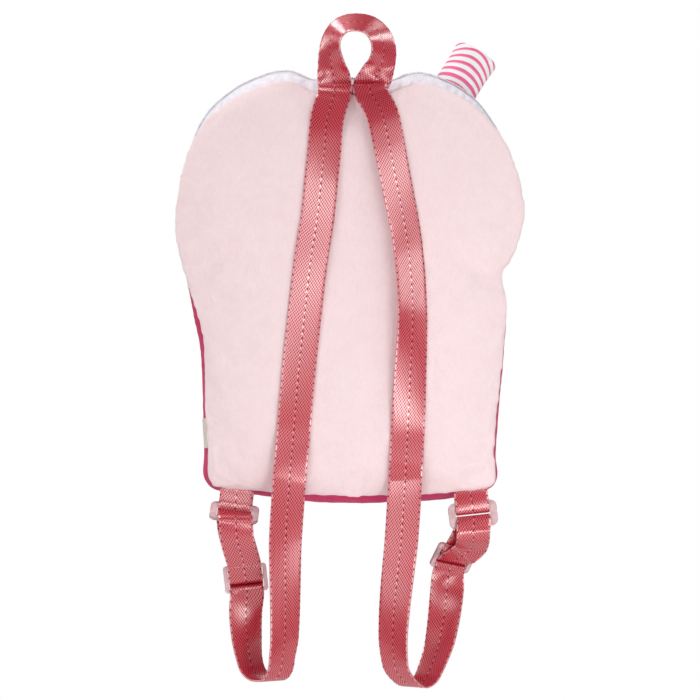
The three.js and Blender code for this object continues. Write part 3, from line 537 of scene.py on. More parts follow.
class Bench:
    """Selecting, editing and finishing meshes with Blender's own operators."""

    @staticmethod
    def clear() -> None:
        """Deselects every object."""
        bpy.ops.object.select_all(action="DESELECT")

    @staticmethod
    def take(piece: Piece) -> None:
        """Makes a piece the only selected object, and the active one."""
        Bench.clear()
        piece.select_set(True)
        bpy.context.view_layer.objects.active = piece

    @staticmethod
    def edit(piece: Piece, work: Callable[[bmesh.types.BMesh], None]) -> None:
        """Runs work on a piece in edit mode.

        Args:
            piece: the piece to edit.
            work: takes the mesh in edit mode, selects in it and calls operators.
        """
        Bench.take(piece)
        bpy.ops.object.mode_set(mode="EDIT")
        work(bmesh.from_edit_mesh(piece.data))
        bpy.ops.object.mode_set(mode="OBJECT")

    @staticmethod
    def choose(mesh: bmesh.types.BMesh, piece: Piece, wanted: Callable[[bmesh.types.BMFace], bool]) -> None:
        """Selects the faces that are wanted, and no others, in edit mode."""
        bpy.ops.mesh.select_mode(type="FACE")
        bpy.ops.mesh.select_all(action="DESELECT")
        for face in mesh.faces:
            face.select_set(wanted(face))
        mesh.select_flush_mode()
        bmesh.update_edit_mesh(piece.data)

    @staticmethod
    def apply(piece: Piece, kind: str, **settings: object) -> None:
        """Adds a modifier with its settings and applies it."""
        modifier = piece.modifiers.new(kind.title(), kind)
        for name, setting in settings.items():
            setattr(modifier, name, setting)
        Bench.take(piece)
        bpy.ops.object.modifier_apply(modifier=modifier.name)

    @staticmethod
    def copy_of(node: Piece, name: str) -> Piece:
        """A node's mesh as a new piece, with its loose triangles merged."""
        mesh = node.data.copy()
        mesh.materials.clear()
        piece = bpy.data.objects.new(name, mesh)
        bpy.context.scene.collection.objects.link(piece)
        Bench.take(piece)
        bpy.ops.mesh.customdata_custom_splitnormals_clear()

        def merge(_: bmesh.types.BMesh) -> None:
            """Merges what lies at one place."""
            bpy.ops.mesh.select_all(action="SELECT")
            bpy.ops.mesh.remove_doubles(threshold=2e-6)

        Bench.edit(piece, merge)
        return piece

    @staticmethod
    def quads(piece: Piece) -> None:
        """Joins a grid's triangles into quads."""

        def join(_: bmesh.types.BMesh) -> None:
            """Joins all triangles that lie flat enough."""
            bpy.ops.mesh.select_all(action="SELECT")
            bpy.ops.mesh.tris_convert_to_quads(face_threshold=math.radians(60), shape_threshold=math.radians(60))

        Bench.edit(piece, join)

    @staticmethod
    def hold_edges(piece: Piece, angle: float, hold: float) -> None:
        """Keeps edges sharper than an angle in degrees from rounding off when the piece is softened."""

        def crease(_: bmesh.types.BMesh) -> None:
            """Creases the sharp edges."""
            bpy.ops.mesh.select_mode(type="EDGE")
            bpy.ops.mesh.select_all(action="DESELECT")
            bpy.ops.mesh.edges_select_sharp(sharpness=math.radians(angle))
            bpy.ops.transform.edge_crease(value=hold)

        Bench.edit(piece, crease)

    @staticmethod
    def soften(piece: Piece, levels: int) -> None:
        """Subdivides a piece smoothly."""
        Bench.apply(piece, "SUBSURF", levels=levels, render_levels=levels)

    @staticmethod
    def smooth(piece: Piece, angle: float | None = None) -> None:
        """Shades a piece smooth, leaving edges sharper than an angle in degrees."""
        Bench.take(piece)
        if angle is None:
            bpy.ops.object.shade_smooth()
        else:
            bpy.ops.object.shade_smooth_by_angle(angle=math.radians(angle))

    @staticmethod
    def shift(piece: Piece, move: Callable[[Vector, Vector], Vector]) -> None:
        """Moves every vertex by what move returns for its place and normal."""
        moves = [move(v.co, v.normal) for v in piece.data.vertices]
        for vertex, by in zip(piece.data.vertices, moves):
            vertex.co += by
        piece.data.update()

    @staticmethod
    def lay_at_origin(piece: Piece) -> None:
        """Puts a piece's place, turn and scale into its mesh."""
        Bench.take(piece)
        bpy.ops.object.transform_apply(location=True, rotation=True, scale=True)

    @staticmethod
    def repeated(pattern: Piece, frames: Iterable[Matrix], name: str) -> Piece:
        """Copies a small modelled shape to many places, in one mesh.

        Args:
            pattern: the shape, modelled about the origin. It is removed afterwards.
            frames: where each copy goes.
            name: the new piece's name.

        Returns:
            The piece with all the copies.
        """
        built = bmesh.new()
        for frame in frames:
            placed = pattern.data.copy()
            placed.transform(frame)
            built.from_mesh(placed)
            bpy.data.meshes.remove(placed)
        mesh = bpy.data.meshes.new(name)
        built.to_mesh(mesh)
        built.free()
        piece = bpy.data.objects.new(name, mesh)
        bpy.context.scene.collection.objects.link(piece)
        bpy.data.objects.remove(pattern)
        return piece

    @staticmethod
    def map_cloth(piece: Piece, place: Callable[[Vector], tuple[float, float]]) -> None:
        """Gives a piece its cloth map from each vertex's place, in metres."""
        mesh = piece.data
        layer = mesh.uv_layers.get(CLOTH_MAP) or mesh.uv_layers.new(name=CLOTH_MAP)
        spots = [place(v.co) for v in mesh.vertices]
        for loop in mesh.loops:
            layer.data[loop.index].uv = spots[loop.vertex_index]


@dataclass(frozen=True)
class Station:
    """A place on a route, with the direction across what lies on it and the one away from it."""

    place: Vector
    across: Vector
    away: Vector


class Route:
    """A smooth way through space that a strap or a row of teeth is laid along."""

    def __init__(self, stations: Sequence[Station], steps: int = 6) -> None:
        """Rounds the stations into one smooth way.

        Args:
            stations: the known places, in order.
            steps: how many steps to make between two of them.
        """
        self.stations: list[Station] = []
        places = [s.place for s in stations]
        last = len(stations) - 1
        headings = [(places[min(i + 1, last)] - places[max(i - 1, 0)]).normalized() for i in range(last + 1)]
        for i in range(last):
            gap = (places[i + 1] - places[i]).length / 3
            knots = (places[i], places[i] + headings[i] * gap, places[i + 1] - headings[i + 1] * gap, places[i + 1])
            for k, place in enumerate(interpolate_bezier(*knots, steps + 1)[:-1]):
                share = k / steps
                across = stations[i].across.lerp(stations[i + 1].across, share).normalized()
                away = stations[i].away.lerp(stations[i + 1].away, share).normalized()
                self.stations.append(Station(place, across, away))
        self.stations.append(stations[last])
        self.ease_turns(steps)
        self.reach = [0.0]
        for low, high in itertools.pairwise(self.stations):
            self.reach.append(self.reach[-1] + (high.place - low.place).length)

    def ease_turns(self, reach: int) -> None:
        """Spreads each change of direction across the route over the stations beside it."""
        last = len(self.stations) - 1
        eased = []
        for i, here in enumerate(self.stations):
            near = self.stations[max(0, i - reach) : i + reach + 1]
            heading = self.stations[min(i + 1, last)].place - self.stations[max(i - 1, 0)].place
            heading.normalize()
            across = sum((s.across for s in near), Vector())
            across = (across - heading * across.dot(heading)).normalized()
            away = across.cross(heading).normalized()
            eased.append(Station(here.place, across, away if away.dot(here.away) > 0 else -away))
        self.stations = eased

    @property
    def length(self) -> float:
        """The route's length."""
        return self.reach[-1]

    def at(self, distance: float) -> Station:
        """The station at a distance along the route, carried on straight past its ends."""
        i = min(max(bisect_right(self.reach, distance) - 1, 0), len(self.reach) - 2)
        low, high = self.stations[i], self.stations[i + 1]
        share = (distance - self.reach[i]) / max(self.reach[i + 1] - self.reach[i], 1e-9)
        place = low.place + (high.place - low.place) * share
        held = min(1.0, max(0.0, share))
        return Station(place, low.across.lerp(high.across, held).normalized(), low.away.lerp(high.away, held).normalized())

    def frame(self, distance: float, across: float = 0.0, away: float = 0.0) -> Matrix:
        """The matrix of a small shape laid on the route: X across, Y along and Z away."""
        here = self.at(distance)
        along = here.away.cross(here.across).normalized()
        place = here.place + here.across * across + here.away * away
        turn = Matrix((here.across, along, here.away)).transposed()
        return Matrix.Translation(place) @ turn.to_4x4()

    @staticmethod
    def along_band(node: Piece, thickness: float) -> "Route":
        """The route of a flat band, read from a node that has four corners at each station.

        Args:
            node: the band's node.
            thickness: how thick the band is.

        Returns:
            Its route, from its higher end, with across pointing right where it starts.
        """
        copy = Bench.copy_of(node, "band_copy")
        mesh = bmesh.new()
        mesh.from_mesh(copy.data)
        bpy.data.objects.remove(copy)
        rings: list[list[Vector]] = []
        for face in mesh.faces:
            first = Route.end_corners(face, thickness)
            if first:
                walked = Route.walk(first)
                if len(walked) > len(rings):
                    rings = walked
        if len(rings) * 4 != len(mesh.verts):
            log.warning("%s: %d corners of %d walked", node.name, len(rings) * 4, len(mesh.verts))
        mesh.free()
        if rings[0][0].z < rings[-1][0].z:
            rings.reverse()
        stations = []
        for near_out, near_in, far_out, far_in in rings:
            across = (far_out + far_in - near_out - near_in).normalized()
            away = (near_out + far_out - near_in - far_in).normalized()
            stations.append(Station((near_out + near_in + far_out + far_in) / 4, across, away))
        if stations[0].across.x < 0:
            stations = [Station(s.place, -s.across, s.away) for s in stations]
        along = stations[1].place - stations[0].place
        if stations[0].away.cross(stations[0].across).dot(along) < 0:
            stations = [Station(s.place, s.across, -s.away) for s in stations]
        return Route(stations)

    @staticmethod
    def end_corners(face: bmesh.types.BMFace, thickness: float) -> list[bmesh.types.BMVert]:
        """The four corners of a band's end, if a triangle is half of that end, else an empty list."""
        edges = sorted(face.edges, key=lambda e: e.calc_length())
        if abs(edges[0].calc_length() - thickness) > 1.5e-5 or edges[1].calc_length() < 8 * thickness:
            return []
        others = [f for f in edges[-1].link_faces if f is not face]
        if len(others) != 1 or others[0].normal.dot(face.normal) < 0.999:
            return []
        corner = next(v for v in others[0].verts if v not in edges[-1].verts)
        near = list(edges[0].verts)
        far_in = next(v for v in edges[-1].verts if v not in near)
        if abs((far_in.co - corner.co).length - thickness) > 1.5e-5:
            return []
        single = next(v for v in near if v not in edges[-1].verts)
        shared = next(v for v in near if v in edges[-1].verts)
        return [single, shared, far_in, corner]

    @staticmethod
    def walk(first: list[bmesh.types.BMVert]) -> list[list[Vector]]:
        """Walks a band from the corners of one end, station by station, keeping their order."""
        ring, seen, walked = first, set(first), [[v.co.copy() for v in first]]
        while True:
            fresh = {edge.other_vert(v) for v in ring for edge in v.link_edges} - seen
            if len(fresh) != len(ring):
                return walked
            ring = list(
                min(
                    itertools.permutations(fresh),
                    key=lambda order: sum((a.co - b.co).length for a, b in zip(ring, order)),
                )
            )
            seen.update(ring)
            walked.append([v.co.copy() for v in ring])


@dataclass(frozen=True)
class Filling:
    """How a stuffed piece is remeshed, blown up and held at its seams."""

    voxel: float
    pressure: float = 4.0
    cap: float = 0.005
    frames: int = 16
    slack: float = 0.0

    def even_out(self, piece: Piece) -> None:
        """Gives a piece an even mesh of the voxel's size, and eases its steps."""
        Bench.apply(piece, "REMESH", mode="VOXEL", voxel_size=self.voxel)
        Bench.apply(piece, "SMOOTH", factor=0.5, iterations=2)

    def swell(self, piece: Piece, held: Callable[[Vector], bool]) -> None:
        """Blows a piece up as cloth, with its seams held and no point moved past the cap.

        Args:
            piece: a closed piece with an even mesh.
            held: tells whether a place is caught in a seam.
        """
        start = [v.co.copy() for v in piece.data.vertices]
        seams = piece.vertex_groups.new(name="seams")
        seams.add([i for i, place in enumerate(start) if held(place)], 1.0, "REPLACE")
        cloth = piece.modifiers.new("Cloth", "CLOTH")
        cloth.settings.quality = 5
        cloth.settings.mass = 0.3
        cloth.settings.tension_stiffness = 12
        cloth.settings.compression_stiffness = 12
        cloth.settings.shear_stiffness = 5
        cloth.settings.bending_stiffness = 0.4
        cloth.settings.use_pressure = True
        cloth.settings.uniform_pressure_force = self.pressure
        cloth.settings.shrink_min = -self.slack
        cloth.settings.vertex_group_mass = seams.name
        cloth.settings.effector_weights.gravity = 0
        cloth.collision_settings.use_collision = False
        cloth.point_cache.frame_start = 1
        cloth.point_cache.frame_end = self.frames
        for frame in range(1, self.frames + 1):
            bpy.context.scene.frame_set(frame)
        Bench.take(piece)
        bpy.ops.object.modifier_apply(modifier=cloth.name)
        for vertex, place in zip(piece.data.vertices, start):
            move = vertex.co - place
            if move.length > self.cap:
                vertex.co = place + move.normalized() * self.cap
        piece.vertex_groups.clear()
        bpy.context.scene.frame_set(1)


@dataclass(frozen=True)
class Pucker:
    """The small gathers that a seam draws in cloth."""

    pitch: float
    depth: float
    seed: float = 0.0

    def height(self, along: float) -> float:
        """How far the cloth stands out at a distance along the seam."""
        drift = noise.noise(Vector((along * 40, self.seed, 0.0)))
        swing = 0.55 + 0.6 * noise.noise(Vector((along * 65, self.seed + 7.0, 2.0)))
        return self.depth * swing * math.sin(math.tau * (along / self.pitch + 1.3 * drift))


@dataclass(frozen=True)
class Crease:
    """One soft crease pressed into a panel: its middle, its long side and how deep it is."""

    x: float
    z: float
    length: float
    width: float
    tilt: float
    depth: float

    def sink(self, place: Vector) -> float:
        """How far the crease presses the cloth in at a place."""
        lean = math.radians(self.tilt)
        dx, dz = place.x - self.x, place.z - self.z
        over = (dx * math.cos(lean) + dz * math.sin(lean)) / self.width
        along = (-dx * math.sin(lean) + dz * math.cos(lean)) / self.length
        return self.depth * math.exp(-over * over - along * along)


# ---------------------------------------------------------------------------------------------
# The bag
# ---------------------------------------------------------------------------------------------


@dataclass(frozen=True)
class Bag:
    """Sizes that several pieces share."""

    drop: float = 0.034
    height: float = 0.310
    seam_y: float = 0.010
    top_depth: float = 0.030
    bottom_depth: float = 0.062
    webbing_width: float = 0.025
    webbing_thickness: float = 0.0013

    @property
    def middle_z(self) -> float:
        """Height of the bag's middle."""
        return -(self.drop + self.height / 2)

    def front_seam_y(self, z: float) -> float:
        """How far back the front seam lies at a height."""
        share = min(1.0, max(0.0, (-z - self.drop) / self.height))
        return self.seam_y + self.top_depth + share * (self.bottom_depth - self.top_depth)

    def round_rim(self, place: Vector) -> float:
        """Distance round the outline from the top, near enough for gathers."""
        return math.atan2(place.x, place.z - self.middle_z) * 0.14

    def outward(self, place: Vector) -> Vector:
        """Direction away from the bag's middle, seen from the wearer's side."""
        return Vector((place.x, 0, (place.z - self.middle_z) * 0.8)).normalized()


@dataclass
class Workshop:
    """What every sub-assembly is built with."""

    frame: dict
    bag: Bag = field(default_factory=Bag)
    finishes: Finishes = field(default_factory=Finishes)

    def node(self, name: str) -> Piece:
        """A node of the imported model."""
        return self.frame["nodes"][name]

    def hand_over(self, piece: Piece, finish: Finish, slot: str, *nodes: str) -> Piece:
        """Dresses a finished piece, hides the nodes that it replaces and reports it.

        Args:
            piece: the finished piece.
            finish: what it is made of.
            slot: the record's material slot; not used.
            nodes: the nodes that it replaces.

        Returns:
            The piece.
        """
        piece.data.materials.clear()
        piece.data.materials.append(self.finishes.of(finish))
        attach(piece, "root")
        if nodes:
            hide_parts(*nodes)
        log.info("%s: %d faces", piece.name, len(piece.data.polygons))
        return piece


@dataclass
class PaddedPanels:
    """The padded back panel and the two plump panels of the front."""

    shop: Workshop
    front_padding: float = 0.005
    front_tuck: float = 0.0024
    neck_overlap: float = 0.0022
    back_filling: Filling = Filling(0.0027, pressure=3.0, cap=0.0016, slack=0.012)
    front_filling: Filling = Filling(0.0030, pressure=3.0, cap=0.005, slack=0.02)
    gathers: Pucker = Pucker(0.0085, 0.0006)
    press_from: float = 0.006
    press_gap: float = 0.0007
    press_reach: int = 6
    creases: tuple[Crease, ...] = (
        Crease(0.0400, -0.0520, 0.0200, 0.0055, 10, 0.0030),
        Crease(0.0450, -0.0850, 0.0280, 0.0080, 4, 0.0014),
        Crease(0.0030, -0.0560, 0.0120, 0.0040, 0, 0.0022),
        Crease(-0.0330, -0.0500, 0.0200, 0.0050, -4, 0.0018),
        Crease(-0.1040, -0.1740, 0.0160, 0.0045, -62, 0.0016),
        Crease(0.0960, -0.1780, 0.0150, 0.0050, 58, 0.0016),
    )

    def build(self) -> None:
        """Makes the three panels."""
        self.back()
        self.front("front_head_panel", Finish.PALE_PLUSH, "pale_fabric", 1.0)
        self.front("front_body_panel", Finish.PINK_PLUSH, "hot_pink_fabric", -1.0)

    def back(self) -> None:
        """The back panel, blown up between its seams and creased where the webbing pulls."""
        piece = Bench.copy_of(self.shop.node("back_panel"), "back_panel_plush")
        self.back_filling.even_out(piece)
        self.back_filling.swell(piece, lambda place: place.y > 0.0045)
        Bench.shift(piece, self.back_move)
        self.press_under_straps(piece)
        Bench.soften(piece, 1)
        Bench.smooth(piece)
        self.shop.hand_over(piece, Finish.PALE_PLUSH, "pale_fabric", "back_panel")

    def press_under_straps(self, piece: Piece) -> None:
        """Presses the panel in where the shoulder straps lie on it, with a soft edge beside them."""
        places, faces = [], []
        for node in ("shoulder_strap_left", "shoulder_strap_right"):
            mesh = self.shop.node(node).data
            first = len(places)
            places += [v.co.copy() for v in mesh.vertices]
            faces += [[first + i for i in face.vertices] for face in mesh.polygons]
        straps = BVHTree.FromPolygons(places, faces)
        vertices = piece.data.vertices
        sinks = [0.0] * len(vertices)
        for i, vertex in enumerate(vertices):
            if vertex.normal.y < 0:
                hit = straps.ray_cast(Vector((vertex.co.x, self.press_from, vertex.co.z)), Vector((0, -1, 0)))[0]
                if hit is not None:
                    sinks[i] = max(0.0, hit.y + self.press_gap - vertex.co.y)
        beside = [[] for _ in vertices]
        for a, b in (edge.vertices for edge in piece.data.edges):
            beside[a].append(b)
            beside[b].append(a)
        for _ in range(self.press_reach):
            sinks = [max(own, 0.78 * max(sinks[k] for k in near)) for own, near in zip(sinks, beside)]
        for vertex, sink in zip(vertices, sinks):
            if vertex.normal.y < 0:
                vertex.co.y += sink
        piece.data.update()

    def back_move(self, place: Vector, normal: Vector) -> Vector:
        """How the gathers at the seam and the creases move a point of the back panel."""
        if normal.y > 0.3:
            return Vector()
        near_seam = smooth_step(-0.004, 0.004, place.y) * (1 - smooth_step(0.0075, 0.0095, place.y))
        gather = self.gathers.height(self.shop.bag.round_rim(place)) * near_seam
        sink = sum(crease.sink(place) for crease in self.creases) * (1 - 0.7 * near_seam)
        spot = Vector((place.x * 22, place.z * 15, 3.0))
        wave = 0.0007 * noise.noise(spot) * (1 - near_seam)
        return Vector((0, sink + wave, 0)) + self.shop.bag.outward(place) * gather

    def front(self, node: str, finish: Finish, slot: str, side: float) -> None:
        """One panel of the front.

        Args:
            node: the node that it replaces.
            finish: its plush.
            slot: its material slot.
            side: 1 where the panel lies above the neck seam, -1 below it.
        """
        bag = self.shop.bag
        neck = bag.middle_z
        piece = Bench.copy_of(self.shop.node(node), f"{node}_plush")

        def strip(mesh: bmesh.types.BMesh) -> None:
            """Leaves only the outer skin."""
            inside = lambda face: face.normal.y < -0.05 or abs(face.calc_center_median().z - neck) < 0.0004
            Bench.choose(mesh, piece, inside)
            bpy.ops.mesh.delete(type="FACE")

        Bench.edit(piece, strip)
        Bench.apply(piece, "SOLIDIFY", thickness=self.front_padding, offset=-1.0, use_even_offset=False)
        self.front_filling.even_out(piece)

        def held(place: Vector) -> bool:
            """Whether a place is caught in the front seam or the neck seam."""
            return place.y < bag.front_seam_y(place.z) + 0.003 or abs(place.z - neck) < 0.003

        self.front_filling.swell(piece, held)

        def move(place: Vector, normal: Vector) -> Vector:
            """Pulls the plush in at the neck seam and gathers it at both seams."""
            near_neck = math.exp(-(((place.z - neck) / 0.0075) ** 2))
            near_rim = 1 - smooth_step(0.002, 0.012, place.y - bag.front_seam_y(place.z))
            gather = self.gathers.height(place.x) * near_neck
            ring = self.gathers.height(bag.round_rim(place)) * near_rim
            swell = 0.0012 * noise.noise(Vector((place.x * 17, place.z * 17, side * 5)))
            inward = -0.0042 * near_neck + gather + swell * (1 - near_rim) - self.front_tuck * near_rim
            return Vector((0, inward, -side * self.neck_overlap * near_neck)) + bag.outward(place) * ring

        Bench.shift(piece, move)
        Bench.soften(piece, 1)
        Bench.smooth(piece)
        self.shop.hand_over(piece, finish, slot, node)


@dataclass
class SideCloth:
    """The plush gusset round the body and the two short sides of the head."""

    shop: Workshop
    gathers: Pucker = Pucker(0.0105, 0.0006, 3.0)
    slack: float = 0.0011
    lap: float = 0.0045
    back_lap: float = 0.0014
    end_lap: float = 0.0016

    def build(self) -> None:
        """Makes the three strips."""
        self.strip("body_gusset", Finish.PINK_PLUSH, "hot_pink_fabric")
        self.strip("head_side_left", Finish.PALE_PLUSH, "pale_fabric")
        self.strip("head_side_right", Finish.PALE_PLUSH, "pale_fabric")

    def strip(self, node: str, finish: Finish, slot: str) -> None:
        """One strip of the gusset, softened, gathered at its seams and a little slack between."""
        piece = Bench.copy_of(self.shop.node(node), f"{node}_plush")
        Bench.quads(piece)
        Bench.hold_edges(piece, 60, 0.9)
        Bench.soften(piece, 3)
        Bench.shift(piece, self.move)
        self.lengthen(piece)
        Bench.smooth(piece)
        self.shop.hand_over(piece, finish, slot, node)

    def lengthen(self, piece: Piece) -> None:
        """Draws a strip's ends, but not the bag's bottom, up to the strips beyond them."""
        heights = [v.co.z for v in piece.data.vertices]
        low, high = min(heights), max(heights)
        bottom = low < -self.shop.bag.drop - self.shop.bag.height + 0.01
        near = 0.004

        def move(place: Vector, _: Vector) -> Vector:
            """How far an end reaches over its joint."""
            down = 0.0 if bottom else smooth_step(low + near, low, place.z)
            return Vector((0, 0, self.end_lap * (smooth_step(high - near, high, place.z) - down)))

        Bench.shift(piece, move)

    def move(self, place: Vector, _: Vector) -> Vector:
        """How the gathers and the slack move a point of a strip."""
        bag = self.shop.bag
        back, front = bag.seam_y, bag.front_seam_y(place.z)
        share = (place.y - back) / (front - back)
        near_seam = math.exp(-((share / 0.16) ** 2)) + math.exp(-(((1 - share) / 0.16) ** 2))
        along = bag.round_rim(place)
        gather = self.gathers.height(along) * (0.35 + 0.65 * near_seam)
        spot = Vector((along * 30, place.y * 26, 9.0))
        front_lap, back_lap = smooth_step(0.86, 1.0, share), smooth_step(0.1, 0.0, share)
        slack = self.slack * noise.noise(spot) * (1 - min(1.0, near_seam))
        outward = gather + slack - 0.0008 * (front_lap + back_lap)
        return bag.outward(place) * outward + Vector((0, self.lap * front_lap - self.back_lap * back_lap, 0))


@dataclass
class TopZip:
    """The zip over the top: two gathered tapes, the coil, the slider and its pull."""

    shop: Workshop
    gathers: Pucker = Pucker(0.0070, 0.0016, 11.0)
    tooth_pitch: float = 0.0014
    tooth_width: float = 0.0046
    tooth_length: float = 0.0013
    tooth_height: float = 0.0018
    tooth_sink: float = 0.0005
    lap: float = 0.0040
    back_lap: float = 0.0014
    close: float = 0.0010

    def build(self) -> None:
        """Makes the tapes, the teeth and the slider."""
        self.tape("zip_tape_back")
        self.tape("zip_tape_front")
        self.teeth()
        self.slider()

    def tape(self, node: str) -> None:
        """One tape, gathered where it is sewn to the plush."""
        piece = Bench.copy_of(self.shop.node(node), f"{node}_cloth")
        Bench.quads(piece)
        Bench.hold_edges(piece, 60, 0.9)
        Bench.soften(piece, 3)
        Bench.shift(piece, self.move)
        Bench.smooth(piece)
        self.shop.hand_over(piece, Finish.ZIP, "zip_tape", node)

    def move(self, place: Vector, _: Vector) -> Vector:
        """How the gathers move a point of a tape: most at its sewn edge and none at the teeth."""
        bag = self.shop.bag
        back, front = bag.seam_y, bag.front_seam_y(place.z)
        share = (place.y - back) / (front - back)
        from_teeth = smooth_step(0.14, 0.34, abs(share - 0.5))
        from_seam = smooth_step(0.0, 0.08, 0.5 - abs(share - 0.5))
        lift = self.gathers.height(bag.round_rim(place)) * from_teeth * (0.35 + 0.65 * from_seam)
        front_lap, back_lap = smooth_step(0.9, 1.0, share), smooth_step(0.1, 0.0, share)
        to_middle = math.copysign(1 - smooth_step(0.0, 0.12, abs(share - 0.5)), 0.5 - share)
        shift = self.lap * front_lap - self.back_lap * back_lap + self.close * to_middle
        return bag.outward(place) * (lift - 0.0006 * (front_lap + back_lap)) + Vector((0, shift, 0))

    def teeth(self) -> None:
        """The teeth, one small oval copied along the zip."""
        route = self.route()
        Bench.clear()
        bpy.ops.mesh.primitive_uv_sphere_add(segments=10, ring_count=6, radius=0.5)
        tooth = bpy.context.object
        size = (self.tooth_width, self.tooth_length, self.tooth_height)

        def shape(_: bmesh.types.BMesh) -> None:
            """Draws the ball out to a tooth's width, length and height."""
            bpy.ops.mesh.select_all(action="SELECT")
            bpy.ops.transform.resize(value=size, center_override=(0, 0, 0))

        Bench.edit(tooth, shape)
        count = int(route.length / self.tooth_pitch)
        places = ((i + 0.5) * self.tooth_pitch for i in range(count))
        frames = (route.frame(place, away=-self.tooth_sink) for place in places)
        piece = Bench.repeated(tooth, frames, "zip_coil")
        Bench.smooth(piece)
        self.shop.hand_over(piece, Finish.COIL, "zip_teeth", "zip_teeth")

    def route(self) -> Route:
        """The coil's route, read from its node, which has six corners at each station."""
        copy = Bench.copy_of(self.shop.node("zip_teeth"), "coil_copy")
        middle = Vector((0, 0, self.shop.bag.middle_z))
        turn = lambda place: math.atan2(place.x - middle.x, place.z - middle.z)
        corners = sorted((v.co.copy() for v in copy.data.vertices), key=turn)
        bpy.data.objects.remove(copy)
        rings = [corners[i : i + 6] for i in range(0, len(corners) - 5, 6)]
        across = Vector((0, 1, 0))
        centres = [sum(ring, Vector()) / 6 for ring in rings]
        stations = []
        for i, centre in enumerate(centres):
            along = centres[min(i + 1, len(centres) - 1)] - centres[max(i - 1, 0)]
            stations.append(Station(centre, across, along.cross(across).normalized()))
        if stations[len(stations) // 2].away.z < 0:
            stations = [Station(s.place, s.across, -s.away) for s in stations]
        return Route(stations, 4)

    def slider(self) -> None:
        """The slider with its pull, rounded at every edge."""
        piece = Bench.copy_of(self.shop.node("zip_slider"), "zip_slider_cast")

        def ease(_: bmesh.types.BMesh) -> None:
            """Joins each flat face."""
            bpy.ops.mesh.select_all(action="SELECT")
            bpy.ops.mesh.dissolve_limited(angle_limit=math.radians(2))

        Bench.edit(piece, ease)
        Bench.apply(piece, "BEVEL", width=0.0005, segments=3, limit_method="ANGLE", angle_limit=math.radians(30))
        Bench.smooth(piece, 40)
        self.shop.hand_over(piece, Finish.ZIP_PULL, "zip_slider", "zip_slider")


@dataclass
class Webbing:
    """The satin webbing: the top loop, the two shoulder straps and the two anchor tabs."""

    shop: Workshop
    step: float = 0.0016
    columns: int = 12
    selvage: float = 0.00042
    stitch_pitch: float = 0.0026
    stitch_length: float = 0.0019

    def build(self) -> None:
        """Makes every length of webbing and the stitching on the straps."""
        routes = {
            node: self.length(node)
            for node in (
                "top_loop",
                "shoulder_strap_left",
                "shoulder_strap_right",
                "anchor_tab_left",
                "anchor_tab_right",
            )
        }
        for side in ("left", "right"):
            self.end_stitches(routes[f"shoulder_strap_{side}"], side)

    def length(self, node: str) -> Route:
        """One length of webbing, modelled flat and then laid along its route.

        Args:
            node: the node that it replaces.

        Returns:
            The route that it lies on.
        """
        bag = self.shop.bag
        route = Route.along_band(self.shop.node(node), bag.webbing_thickness)
        Bench.clear()
        rows = max(8, int(route.length / self.step))
        bpy.ops.mesh.primitive_grid_add(x_subdivisions=self.columns, y_subdivisions=rows, size=1)
        piece = bpy.context.object
        piece.name = f"{node}_webbing"

        def flat_size(_: bmesh.types.BMesh) -> None:
            """Cuts the flat webbing to its width and length."""
            bpy.ops.mesh.select_all(action="SELECT")
            bpy.ops.transform.resize(value=(bag.webbing_width, route.length, 1), center_override=(0, 0, 0))
            bpy.ops.transform.translate(value=(0, route.length / 2, 0))

        Bench.edit(piece, flat_size)
        Bench.apply(piece, "SOLIDIFY", thickness=bag.webbing_thickness, offset=0.0)
        Bench.apply(
            piece, "BEVEL", width=self.selvage, segments=2, limit_method="ANGLE", angle_limit=math.radians(50)
        )
        Bench.map_cloth(piece, lambda place: (place.x, place.y))
        self.lay(piece, route)
        Bench.smooth(piece)
        self.shop.hand_over(piece, Finish.STRAP, "webbing", node)
        return route

    @staticmethod
    def lay(piece: Piece, route: Route) -> None:
        """Lays a flat piece along a route: its Y becomes the distance along."""
        for vertex in piece.data.vertices:
            x, y, z = vertex.co
            here = route.at(y)
            vertex.co = here.place + here.across * x + here.away * z
        piece.data.update()

    def stitch(self) -> Piece:
        """One stitch: a short thread, sunk at both its ends."""
        Bench.clear()
        bpy.ops.mesh.primitive_uv_sphere_add(segments=8, ring_count=6, radius=self.stitch_length / 2)
        thread = bpy.context.object

        def shape(mesh: bmesh.types.BMesh) -> None:
            """Draws the ball out along X and flattens it."""
            bpy.ops.mesh.select_all(action="SELECT")
            bpy.ops.transform.resize(value=(1, 0.34, 0.3), center_override=(0, 0, 0))

        Bench.edit(thread, shape)
        return thread

    def end_stitches(self, route: Route, side: str) -> None:
        """The row of stitches that closes a strap's doubled end round its slider."""
        bag = self.shop.bag
        end = route.at(route.length).place
        span = [route.length - 0.001 * k for k in range(14, 60)]
        line = min(span, key=lambda d: (route.at(d).place - end).length) + 0.0025
        here = route.at(line)
        outward = 1.0 if here.away.y < 0 else -1.0
        lift = outward * (bag.webbing_thickness / 2 + 0.0001)
        reach = bag.webbing_width / 2 - 0.0018
        count = int(2 * reach / self.stitch_pitch)
        frames = [route.frame(line, -reach + (i + 0.5) * 2 * reach / count, lift) for i in range(count)]
        piece = Bench.repeated(self.stitch(), frames, f"strap_stitches_{side}")
        Bench.smooth(piece)
        self.shop.hand_over(piece, Finish.THREAD, "webbing")


